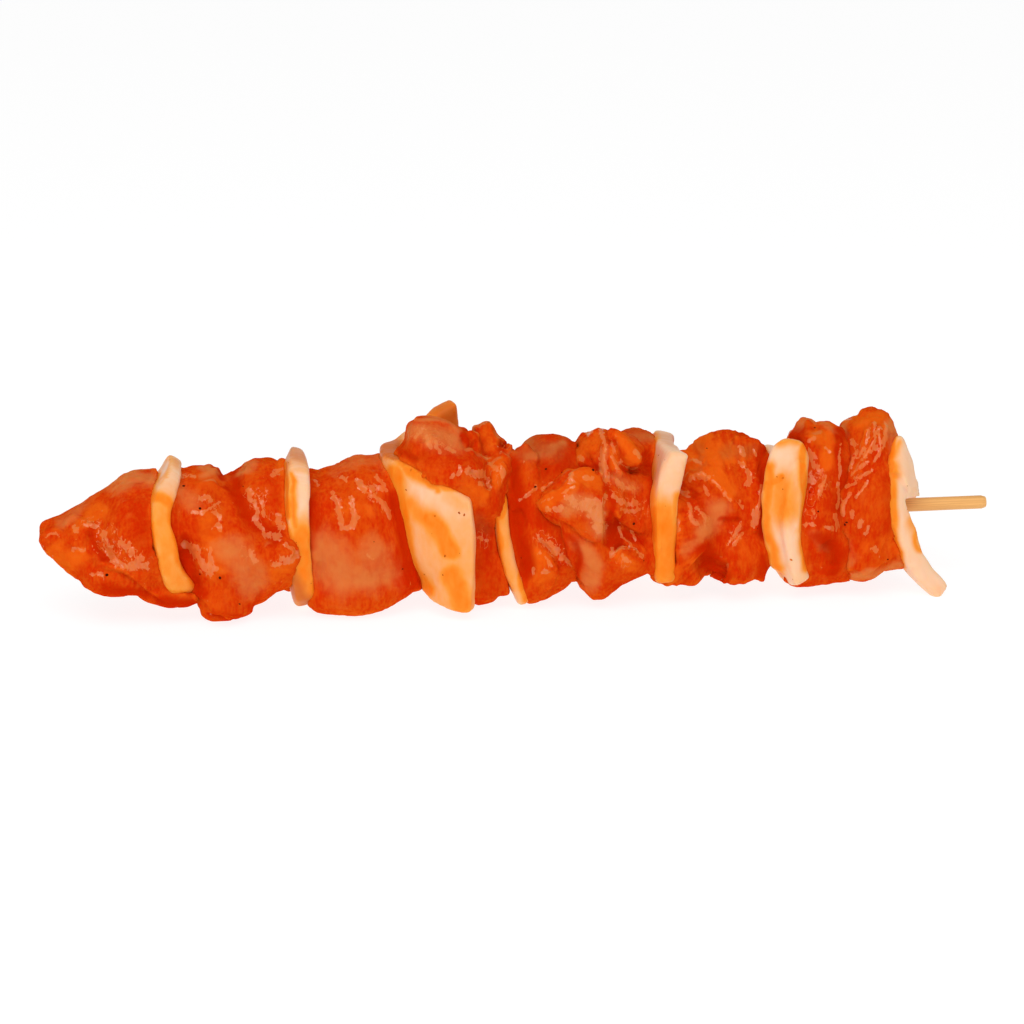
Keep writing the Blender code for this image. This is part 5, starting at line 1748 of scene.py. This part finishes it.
def fan_chunk() -> ChickenChunk:
    """Returns the chunk whose fibres fan out to a scalloped top, with a dark hollow under it."""
    strokes = (
        fold(Form.RIDGE, 1.1, 0.9, (34.9, 20.0), (36.0, 24.2), (38.5, 25.7), (41.2, 24.3), (43.6, 21.8), (46.2, 18.6), (46.8, 16.4)),
        fold(Form.GROOVE, 0.8, 0.5, (36.6, 21.8), (38.4, 20.2), (40.2, 17.6)),
        fold(Form.RIDGE, 0.5, 0.4, (36.2, 19.6), (36.8, 15.6), (38.8, 13.6)),
        fold(Form.RIDGE, 0.4, 0.35, (38.0, 18.2), (40.4, 15.2)),
        fold(Form.GROOVE, 2.6, 2.6, (38.6, 7.2), (41.2, 4.6), (45.0, 2.8)),
        fold(Form.GROOVE, 0.9, 0.9, (43.4, 15.0), (45.6, 14.4), (48.0, 15.4)),
        fold(Form.GROOVE, 1.6, 0.8, (40.4, 12.0), (42.6, 9.0), (43.0, 6.0)),
        fold(Form.RIDGE, 1.2, 0.5, (42.6, 7.6), (46.0, 3.2), (50.0, 1.6)),
        fold(Form.RIDGE, 0.5, 0.5, (52.0, 23.4), (51.4, 18.0), (51.0, 13.2), (49.6, 12.3)),
        fold(Form.RIDGE, 0.5, 0.35, (47.0, 32.0), (48.0, 27.5), (49.0, 23.0)),
        fold(Form.RIDGE, 0.35, 0.35, (44.4, 8.6), (46.8, 13.0)),
        fold(Form.RIDGE, 0.35, 0.35, (45.8, 8.6), (47.8, 12.4)),
    )
    patches = (
        patch(Tint.DEEP_AND_PAINTED_SHADE, 3.0, 1.0, (38.8, 7.8), (41.0, 5.0), (45.0, 2.4)),
        patch(Tint.DEEP_AND_PAINTED_SHADE, 1.2, 0.8, (36.0, 21.6), (37.4, 20.6)),
        patch(Tint.DEEP_AND_PAINTED_SHADE, 1.2, 0.8, (43.6, 15.0), (47.6, 14.8)),
        patch(Tint.DEEP_AND_PAINTED_SHADE, 2.2, 0.8, (51.6, 30.0), (52.4, 22.0), (52.8, 12.0)),
        patch(Tint.DEEP_AND_PAINTED_SHADE, 1.8, 0.8, (53.0, 6.0), (53.4, 2.0)),
        patch(Tint.PALE, 4.2, 0.8, (39.0, 13.4), (42.0, 15.6), (42.6, 18.0)),
        patch(Tint.PALE, 2.6, 0.6, (35.4, 8.6), (37.6, 11.0)),
        patch(Tint.BRIGHT_AND_PAINTED_LIGHT, 3.0, 0.9, (35.4, 30.0), (39.0, 31.0), (44.0, 30.0)),
        patch(Tint.BRIGHT_AND_PAINTED_LIGHT, 2.6, 1.0, (37.6, 27.6), (41.6, 26.8), (45.0, 22.0)),
        patch(Tint.BRIGHT_AND_PAINTED_LIGHT, 2.6, 0.6, (47.0, 10.0), (49.6, 5.0)),
        patch(Tint.BROWN, 2.0, 0.4, (44.0, 31.0), (49.4, 31.0)),
        patch(Tint.WRINKLED, 2.4, 1.0, (37.2, 18.0), (38.8, 15.4)),
        patch(Tint.WRINKLED, 2.2, 1.0, (45.2, 9.4), (47.6, 13.0)),
        patch(Tint.WET_AND_PAINTED_HIGHLIGHT, 1.2, 1.0, (36.4, 25.0), (38.4, 25.6), (40.6, 24.8)),
        patch(Tint.WET_AND_PAINTED_HIGHLIGHT, 0.5, 1.0, (41.2, 24.2), (43.4, 21.8), (45.4, 19.2)),
        patch(Tint.WET_AND_PAINTED_HIGHLIGHT, 0.8, 1.0, (36.4, 19.2), (36.8, 15.8), (38.4, 14.4)),
        patch(Tint.WET_AND_PAINTED_HIGHLIGHT, 0.8, 1.0, (38.0, 18.0), (40.2, 15.4)),
        patch(Tint.WET_AND_PAINTED_HIGHLIGHT, 0.9, 1.0, (39.4, 23.0), (40.2, 21.0)),
        patch(Tint.WET_AND_PAINTED_HIGHLIGHT, 1.0, 1.0, (47.0, 31.4), (48.2, 30.0)),
        patch(Tint.WET_AND_PAINTED_HIGHLIGHT, 1.1, 1.0, (47.4, 28.2), (48.8, 26.4), (49.3, 24.4), (48.9, 23.0)),
        patch(Tint.WET_AND_PAINTED_HIGHLIGHT, 0.6, 1.0, (52.0, 22.8), (51.5, 18.0)),
        patch(Tint.WET_AND_PAINTED_HIGHLIGHT, 1.2, 1.0, (51.1, 17.0), (50.8, 13.6)),
        patch(Tint.WET_AND_PAINTED_HIGHLIGHT, 0.8, 1.0, (47.0, 19.2), (47.8, 17.8)),
        patch(Tint.WET_AND_PAINTED_HIGHLIGHT, 0.8, 1.0, (44.6, 9.0), (46.4, 11.6), (47.6, 13.8)),
        patch(Tint.WET_AND_PAINTED_HIGHLIGHT, 0.6, 1.0, (46.6, 9.4), (48.0, 12.0)),
        patch(Tint.WET_AND_PAINTED_HIGHLIGHT, 1.1, 1.0, (33.6, 15.0), (33.9, 13.2)),
        patch(Tint.WET_AND_PAINTED_HIGHLIGHT, 0.6, 1.0, (36.4, 29.2), (38.6, 28.2)),
        patch(Tint.WET_AND_PAINTED_HIGHLIGHT, 0.5, 1.0, (50.2, 31.0), (50.6, 29.8)),
    )
    flaps = (
        Flap(((45.9, 34.1, 0.1), (50.8, 33.0, 0.1), (52.8, 30.9, 0.1), (53.5, 27.7, 0.3), (51.0, 25.3, 0.5), (45.4, 29.1, 0.5))),
        Flap(((48.2, 5.8, 0.3), (48.3, 1.7, 0.1), (53.2, 0.7, -0.2), (53.6, 5.2, -0.2))),
        Flap(((28.8, 2.2, 0.0), (31.0, 0.7, 0.0), (37.9, 0.5, 0.0), (39.6, 1.8, 0.0), (37.3, 4.8, 0.1), (31.0, 4.4, 0.0))),
    )
    return ChickenChunk(
        "chicken_7", 7, Fibres(0.0, 1.0, 0.22, (48.6, 14.0)), flaps, strokes, patches, streaks=0.6
    )


def strap_chunk() -> ChickenChunk:
    """Returns the narrow upright chunk, with its rolled top over the onion beside it."""
    strokes = (
        fold(Form.RIDGE, 0.8, 0.6, (57.6, 33.8), (62.0, 33.0), (66.0, 33.4)),
        fold(Form.GROOVE, 2.2, 2.4, (55.6, 29.6), (58.5, 29.4), (61.0, 29.6)),
        fold(Form.RIDGE, 0.6, 0.4, (63.4, 36.6), (66.6, 34.4), (68.2, 30.6)),
        fold(Form.RIDGE, 1.4, 0.5, (65.0, 31.0), (65.6, 26.0), (65.4, 20.0)),
        fold(Form.GROOVE, 1.6, 1.3, (66.6, 9.4), (68.6, 6.4), (69.0, 3.0)),
        fold(Form.RIDGE, 0.35, 0.3, (65.6, 23.4), (64.8, 19.4)),
        fold(Form.GROOVE, 0.5, 0.4, (61.4, 33.6), (62.6, 30.0), (63.4, 27.4)),
    )
    patches = (
        patch(Tint.BRIGHT_AND_PAINTED_LIGHT, 2.4, 1.0, (63.4, 32.6), (66.6, 31.4), (66.4, 27.0)),
        patch(Tint.BRIGHT_AND_PAINTED_LIGHT, 2.0, 0.7, (60.0, 36.0), (63.0, 35.6)),
        patch(Tint.DEEP_AND_PAINTED_SHADE, 2.4, 0.8, (68.6, 34.0), (69.6, 26.0), (69.2, 18.0)),
        patch(Tint.DEEP_AND_PAINTED_SHADE, 3.0, 0.9, (65.4, 10.0), (68.4, 6.6), (68.6, 2.4)),
        patch(Tint.PALE, 1.8, 0.6, (64.4, 11.6), (66.0, 7.6)),
        patch(Tint.PALE, 1.4, 0.7, (64.6, 36.4), (67.6, 33.6)),
        patch(Tint.WRINKLED, 2.6, 1.0, (65.4, 24.0), (63.8, 16.0)),
        patch(Tint.WET_AND_PAINTED_HIGHLIGHT, 1.2, 1.0, (62.2, 30.6), (63.4, 27.8), (64.8, 25.4)),
        patch(Tint.WET_AND_PAINTED_HIGHLIGHT, 1.8, 1.0, (61.6, 24.4), (63.2, 23.2)),
        patch(Tint.WET_AND_PAINTED_HIGHLIGHT, 0.6, 1.0, (65.4, 22.4), (64.8, 19.4)),
        patch(Tint.WET_AND_PAINTED_HIGHLIGHT, 0.6, 1.0, (66.2, 24.6), (65.6, 22.0)),
        patch(Tint.WET_AND_PAINTED_HIGHLIGHT, 0.7, 1.0, (63.2, 16.6), (64.6, 15.6)),
        patch(Tint.WET_AND_PAINTED_HIGHLIGHT, 0.6, 1.0, (61.8, 13.6), (64.2, 13.0)),
        patch(Tint.WET_AND_PAINTED_HIGHLIGHT, 0.7, 1.0, (62.0, 32.4), (63.6, 33.0)),
        patch(Tint.WET_AND_PAINTED_HIGHLIGHT, 0.6, 1.0, (66.2, 30.8), (66.8, 29.8)),
        patch(Tint.WET_AND_PAINTED_HIGHLIGHT, 0.9, 1.0, (66.8, 12.4), (68.2, 12.0)),
        patch(Tint.WET_AND_PAINTED_HIGHLIGHT, 0.5, 1.0, (69.0, 31.2), (69.1, 24.0), (69.0, 17.0)),
        patch(Tint.WET_AND_PAINTED_HIGHLIGHT, 0.9, 1.0, (68.6, 15.2), (69.2, 12.4)),
    )
    flaps = (
        Flap(((57.2, 0.8, 0.1), (60.2, -0.9, 0.1), (72.5, -0.3, 0.1), (71.4, 4.8, 0.4), (62.4, 5.2, 0.4))),
    )
    return ChickenChunk("chicken_8", 8, Fibres(85.0, 1.2, 0.05), flaps, strokes, patches)


def last_chunk() -> ChickenChunk:
    """Returns the last chunk, with long curved folds that sweep down from its top corner."""
    sweeps = (
        ((76.4, 36.0), (76.8, 32.4), (75.2, 29.4), (74.0, 27.4)),
        ((75.6, 34.6), (74.6, 31.0), (73.2, 28.0)),
        ((78.8, 36.0), (79.0, 32.4), (77.8, 29.0), (77.0, 27.4)),
        ((77.6, 34.8), (77.9, 32.0), (77.5, 30.2)),
        ((72.8, 29.6), (71.6, 26.4), (70.4, 24.4)),
        ((75.6, 27.2), (73.4, 25.6), (71.8, 24.2)),
        ((76.0, 25.2), (74.0, 23.8), (72.6, 23.4)),
        ((75.8, 22.8), (74.0, 20.4), (72.8, 19.2)),
        ((71.8, 20.0), (70.4, 17.6), (70.2, 15.4)),
    )
    strokes = tuple(fold(Form.RIDGE, 0.5, 0.4, *sweep) for sweep in sweeps) + (
        fold(Form.RIDGE, 0.9, 0.6, (72.6, 37.6), (76.0, 38.2), (79.6, 37.4), (81.4, 35.0)),
        fold(Form.GROOVE, 0.8, 0.5, (80.6, 34.4), (80.2, 30.0), (80.0, 26.0)),
        fold(Form.LEFT_OVER, 2.0, 0.6, (70.4, 1.6), (73.6, 2.6), (76.0, 1.4), (80.0, 4.0), (84.0, 6.0)),
        fold(Form.RIDGE, 0.4, 0.25, (75.8, 19.0), (76.0, 14.0), (75.4, 10.6)),
    )
    patches = tuple(patch(Tint.WET_AND_PAINTED_HIGHLIGHT, 0.62, 1.0, *sweep) for sweep in sweeps) + (
        patch(Tint.BRIGHT_AND_PAINTED_LIGHT, 2.4, 1.0, (73.4, 37.4), (77.0, 37.8), (80.0, 36.4)),
        patch(Tint.BRIGHT_AND_PAINTED_LIGHT, 2.8, 0.6, (75.0, 31.0), (73.4, 26.0)),
        patch(Tint.PALE, 1.8, 0.8, (80.8, 36.0), (81.8, 32.0), (81.4, 28.0)),
        patch(Tint.DEEP_AND_PAINTED_SHADE, 2.2, 0.7, (70.6, 34.0), (70.4, 28.0), (69.6, 22.0)),
        patch(Tint.DEEP_AND_PAINTED_SHADE, 2.6, 0.4, (80.0, 22.0), (81.0, 14.0), (82.6, 9.0)),
        patch(Tint.BRIGHT_AND_PAINTED_LIGHT, 3.0, 0.5, (76.0, 8.0), (80.0, 9.0)),
        patch(Tint.PALE, 1.8, 0.9, (74.0, 0.6), (79.0, 1.4), (84.0, 4.0)),
        patch(Tint.PALE, 2.4, 0.5, (70.6, 9.0), (72.6, 5.0)),
        patch(Tint.WRINKLED, 2.8, 0.8, (75.6, 30.0), (73.0, 24.6)),
        patch(Tint.WET_AND_PAINTED_HIGHLIGHT, 1.2, 1.0, (76.4, 30.6), (74.6, 28.4)),
        patch(Tint.WET_AND_PAINTED_HIGHLIGHT, 1.0, 1.0, (70.2, 18.6), (70.0, 15.6)),
        patch(Tint.WET_AND_PAINTED_HIGHLIGHT, 0.8, 1.0, (72.2, 15.8), (72.4, 14.4)),
        patch(Tint.WET_AND_PAINTED_HIGHLIGHT, 0.8, 1.0, (74.6, 14.0), (73.9, 12.2)),
        patch(Tint.WET_AND_PAINTED_HIGHLIGHT, 0.8, 1.0, (77.2, 7.4), (78.2, 6.4)),
        patch(Tint.WET_AND_PAINTED_HIGHLIGHT, 0.7, 1.0, (71.6, 32.4), (72.4, 31.0)),
        patch(Tint.WET_AND_PAINTED_HIGHLIGHT, 0.8, 1.0, (71.0, 21.8), (72.6, 22.2)),
        patch(Tint.WET_AND_PAINTED_HIGHLIGHT, 0.6, 1.0, (75.9, 12.4), (75.6, 10.6)),
    )
    return ChickenChunk(
        "chicken_9",
        9,
        Fibres(62.0, 1.0, 0.08),
        (),
        strokes,
        patches,
        (Nudge((75.0, 38.4), (1.8, -0.5), 4.0),),
        softness=12,
        crease_depth=0.2,
    )


def chicken_chunks() -> list[ChickenChunk]:
    """Returns the chunks of chicken, from -X to +X."""
    return [
        tip_chunk(),
        second_chunk(),
        third_chunk(),
        crest_chunk(),
        middle_chunk(),
        star_chunk(),
        fan_chunk(),
        strap_chunk(),
        last_chunk(),
    ]


def onion_pieces() -> list[OnionPiece]:
    """Returns the pieces of onion, from -X to +X, with their stains."""
    first = (
        patch(Tint.WHITE, 3.0, 1.0, (-75.8, 32.0), (-75.2, 27.0)),
        patch(Tint.STAIN, 1.7, 1.2, (-78.6, 25.2), (-76.8, 24.6), (-75.4, 23.6)),
        patch(Tint.STAIN, 7.0, 0.8, (-76.6, 20.0), (-76.0, 8.0), (-73.0, 4.0)),
        patch(Tint.STAIN, 1.9, 1.1, (-74.4, 22.6), (-74.0, 15.0), (-72.8, 10.0), (-70.6, 5.0)),
        patch(Tint.STAIN, 2.2, 0.8, (-75.0, 6.0), (-72.0, 4.0)),
        patch(Tint.STAIN, 1.0, 0.6, (-77.6, 31.0), (-75.6, 33.6), (-73.0, 32.6)),
    )
    second = (
        patch(Tint.BROWN, 2.8, 0.75, (-49.0, 33.8), (-46.8, 33.2)),
        patch(Tint.STAIN, 1.3, 1.0, (-50.6, 31.0), (-50.4, 25.0), (-50.0, 20.0)),
        patch(Tint.STAIN, 0.7, 1.0, (-49.0, 28.6), (-49.2, 22.0), (-49.0, 17.0)),
        patch(Tint.WHITE, 2.3, 1.0, (-47.4, 25.6), (-46.8, 22.8)),
        patch(Tint.STAIN, 3.6, 1.15, (-47.6, 15.0), (-47.4, 8.0), (-46.4, 2.0)),
        # Painted shadow: the dark brown at the bottom stands for the shaded back of the piece.
        patch(Tint.BROWN, 2.6, 1.0, (-49.6, 6.0), (-48.4, 2.0), (-46.6, 0.0)),
    )
    third = (
        patch(Tint.BROWN, 3.2, 1.3, (-30.4, 36.6), (-28.6, 34.6), (-26.4, 33.4)),
        patch(Tint.STAIN, 3.0, 1.5, (-30.4, 36.6), (-28.6, 34.6)),
        patch(Tint.STAIN, 1.9, 1.1, (-25.8, 30.6), (-23.4, 28.4), (-20.4, 27.4)),
        patch(Tint.STAIN, 0.8, 1.0, (-18.2, 23.8), (-17.8, 25.2), (-15.4, 25.0), (-12.4, 23.6)),
        patch(Tint.STAIN, 2.8, 0.5, (-15.4, 22.6), (-13.0, 20.6)),
        patch(Tint.STAIN, 2.7, 0.9, (-25.0, 21.6), (-22.6, 19.0), (-19.4, 18.0)),
        patch(Tint.STAIN, 2.6, 1.2, (-20.0, 18.4), (-18.0, 15.0), (-16.0, 10.6)),
        patch(Tint.STAIN, 3.2, 1.1, (-15.8, 5.0), (-14.0, 2.0), (-13.0, -1.6)),
        patch(Tint.STAIN, 10.0, 0.55, (-17.0, 12.0), (-15.0, 2.0)),
        patch(Tint.WHITE, 3.4, 1.0, (-22.6, 26.0), (-19.0, 23.4), (-16.2, 19.6)),
        patch(Tint.WHITE, 2.2, 0.6, (-24.6, 16.0), (-21.4, 9.0)),
        patch(Tint.STAIN, 2.3, 1.3, (-27.6, 28.0), (-26.0, 18.0), (-24.4, 8.0), (-21.0, 2.0)),
        patch(Tint.STAIN, 4.6, 1.6, (-18.0, 43.4), (-15.0, 40.0)),
        patch(Tint.BROWN, 4.4, 0.75, (-18.0, 43.4), (-15.0, 40.0)),
    )
    fourth = (
        patch(Tint.STAIN, 3.0, 0.7, (-4.8, 22.0), (-4.0, 12.0), (-1.6, 2.0)),
        patch(Tint.STAIN, 1.0, 1.0, (-5.4, 20.0), (-4.6, 10.0), (-2.8, 2.0)),
        patch(Tint.WHITE, 1.3, 0.9, (-2.6, 12.6), (-1.0, 0.6)),
    )
    fifth = (
        # Painted shade: the brown-grey along the top edge stands for its shaded top.
        patch(Tint.BROWN, 2.2, 0.4, (30.0, 34.4), (33.0, 34.2)),
        patch(Tint.STAIN, 1.5, 0.9, (27.6, 30.0), (28.0, 20.0)),
        patch(Tint.WHITE, 2.8, 0.7, (32.6, 31.0), (32.0, 24.0)),
        patch(Tint.STAIN, 5.2, 1.5, (29.4, 15.0), (30.6, 9.0), (31.2, 2.0)),
        patch(Tint.STAIN, 1.3, 0.9, (33.8, 21.0), (33.2, 16.0)),
    )
    sixth = (
        patch(Tint.WHITE, 3.8, 1.0, (55.2, 29.2), (56.6, 26.6)),
        patch(Tint.STAIN, 1.2, 0.8, (55.6, 32.4), (59.0, 31.8)),
        patch(Tint.STAIN, 3.8, 0.9, (56.4, 22.6), (57.0, 17.0)),
        patch(Tint.STAIN, 1.4, 1.2, (53.4, 23.6), (56.0, 24.4)),
        patch(Tint.WHITE, 1.3, 0.8, (57.4, 20.0), (57.6, 17.6)),
        patch(Tint.WHITE, 4.2, 1.0, (57.6, 10.4), (60.0, 4.0)),
        patch(Tint.STAIN, 1.3, 1.2, (60.8, 31.0), (61.6, 20.0), (62.0, 10.0), (63.0, 3.6)),
        patch(Tint.STAIN, 1.5, 1.0, (53.4, 27.0), (53.4, 15.0), (54.8, 8.0), (57.0, 3.0)),
    )
    seventh = (
        patch(Tint.STAIN, 1.8, 1.2, (80.0, 26.4), (80.8, 23.6)),
        patch(Tint.STAIN, 0.9, 0.8, (82.0, 31.0), (80.6, 27.0)),
        patch(Tint.STAIN, 0.8, 0.9, (79.4, 21.0), (79.8, 15.0), (81.6, 9.4)),
        patch(Tint.STAIN, 1.0, 0.9, (85.4, 15.4), (86.4, 11.0), (88.2, 6.4)),
        patch(Tint.WHITE, 4.4, 1.0, (83.0, 29.0), (83.6, 20.0), (85.0, 10.0), (90.0, -1.0)),
    )
    rim = (fold(Form.RIDGE, 0.5, 0.3, (31.2, 30.3), (29.8, 25.0), (29.7, 12.0), (30.2, 4.6)),)
    edge = (fold(Form.RIDGE, 0.5, 0.3, (59.7, 31.0), (60.3, 19.0), (60.2, 8.0)),)
    layer = (fold(Form.GROOVE, 0.4, 0.3, (-49.0, 29.0), (-49.2, 22.0), (-49.0, 16.6)),)
    lip = (fold(Form.RIDGE, 0.5, 0.3, (-11.6, 23.0), (-11.2, 14.0), (-11.4, 4.0)),)
    back = (fold(Form.LEFT_OVER, 2.0, 0.6, (80.4, 24.6), (82.6, 23.8), (85.0, 19.4)),)
    front = Flap(
        (
            (53.2, 26.1, 0.3), (54.3, 31.0, 0.2), (56.9, 32.9, 0.1), (60.6, 31.9, 0.2), (61.8, 28.4, 0.3),
            (60.3, 22.0, 0.2), (60.1, 14.0, 0.2), (60.4, 6.0, 0.2), (58.2, 2.2, 0.1), (54.8, 4.2, 0.2),
            (53.4, 8.5, 0.2), (52.7, 14.0, 0.3), (52.6, 20.5, 0.3),
        ),
        2.5, 3.0, True,
    )
    crown = Flap(
        (
            (79.3, 24.0, 0.1), (80.0, 29.2, 0.0), (81.6, 32.8, 0.0), (82.7, 32.5, 0.0), (85.0, 26.7, 0.0),
            (87.1, 19.1, 0.0), (84.0, 18.6, 0.2), (81.2, 20.5, 0.2),
        )
    )
    pulls = (
        ((-77.0, 32.5, 1.2, -0.5, 4.0), (-74.6, 14.0, 1.5, 0.0, 5.0), (-72.0, 6.0, 1.2, 0.0, 3.5), (-76.0, 3.0, -0.8, -0.4, 3.0)),
        ((-46.0, 34.4, -0.7, 0.1, 2.2), (-50.6, 34.6, 0.9, 0.1, 2.2)),
        ((-23.4, 4.0, 2.0, 0.0, 4.5), (-9.8, 26.0, 0.8, 0.6, 2.5), (-28.2, 38.0, 0.0, -1.4, 2.6), (-18.5, 42.5, -0.8, -0.1, 2.0)),
        ((-1.2, -0.6, 0.9, -0.4, 4.0),),
        ((28.2, 20.0, -1.1, 0.0, 5.5), (28.8, 9.0, -0.7, 0.0, 4.0)),
        (),
        ((79.6, 17.0, -1.5, 0.0, 6.0), (86.0, 12.0, 1.3, 0.0, 5.0), (91.0, -3.0, 0.8, -0.6, 4.0)),
    )
    kinds = (
        (first, (), ()),
        (second, layer, ()),
        (third, lip, ()),
        (fourth, (), ()),
        (fifth, rim, ()),
        (sixth, edge, (front,)),
        (seventh, back, (crown,)),
    )
    return [
        OnionPiece(f"onion_{number}", 20 + number, *kind, tuple(nudge(*pull) for pull in pulled))
        for number, (kind, pulled) in enumerate(zip(kinds, pulls), 1)
    ]


def write_sizes(before: tuple[Vector, Vector], after: tuple[Vector, Vector]) -> None:
    """Writes the solids' box and the finished model's box."""
    boxes = {
        "cad": [list(corner) for corner in before],
        "visual": [list(corner) for corner in after],
    }
    with open(SIZE_FILE, "w", encoding="utf-8") as file:
        json.dump(boxes, file)


def main() -> None:
    """Builds and dresses the skewer and sets up the studio."""
    logging.basicConfig(level=logging.INFO, format="%(name)s %(message)s", force=True)
    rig.load()
    solid_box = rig.bounds()
    meat, flesh, bamboo = MeatFinish().material(), OnionFinish().material(), BambooFinish().material()
    BambooStick().build(bamboo)
    chunks = [chunk.build(meat) for chunk in chicken_chunks()]
    petals = [petal.build(flesh) for petal in onion_pieces()]
    pepper = SpeckFinish("Pepper", (0.08, 0.012, 0.004, 1.0), (0.02, 0.004, 0.002, 1.0)).material()
    paprika = SpeckFinish("Paprika", (0.75, 0.16, 0.01, 1.0), (0.42, 0.06, 0.006, 1.0)).material()
    peppercorns = (
        (-88.8, 8.3), (-61.0, 0.5), (-69.2, 7.6), (-65.0, 6.6), (-68.7, 22.3), (-71.9, 27.4), (2.7, 24.3),
        (5.0, 28.2), (24.2, 15.1), (15.2, 27.6), (71.2, 13.5), (70.8, 13.0),
    )
    grains = (
        (-13.7, 19.1), (-18.9, 18.6), (-16.8, 9.5), (-25.0, 24.7), (-17.3, 5.2), (-12.6, 18.6), (-23.9, 29.1),
        (55.4, 24.5), (56.7, 24.2), (59.1, 5.4), (-14.6, 41.5),
    )
    SpiceSpecks("pepper_specks", 2500.0, 0.2, 5, peppercorns, 0.32).build(chunks, pepper, "chicken")
    SpiceSpecks("paprika_specks", 9000.0, 0.16, 6, grains, 0.3).build(petals, paprika, "onion")
    Studio().build()
    write_sizes(solid_box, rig.bounds())


if __name__ == "__main__":
    main()
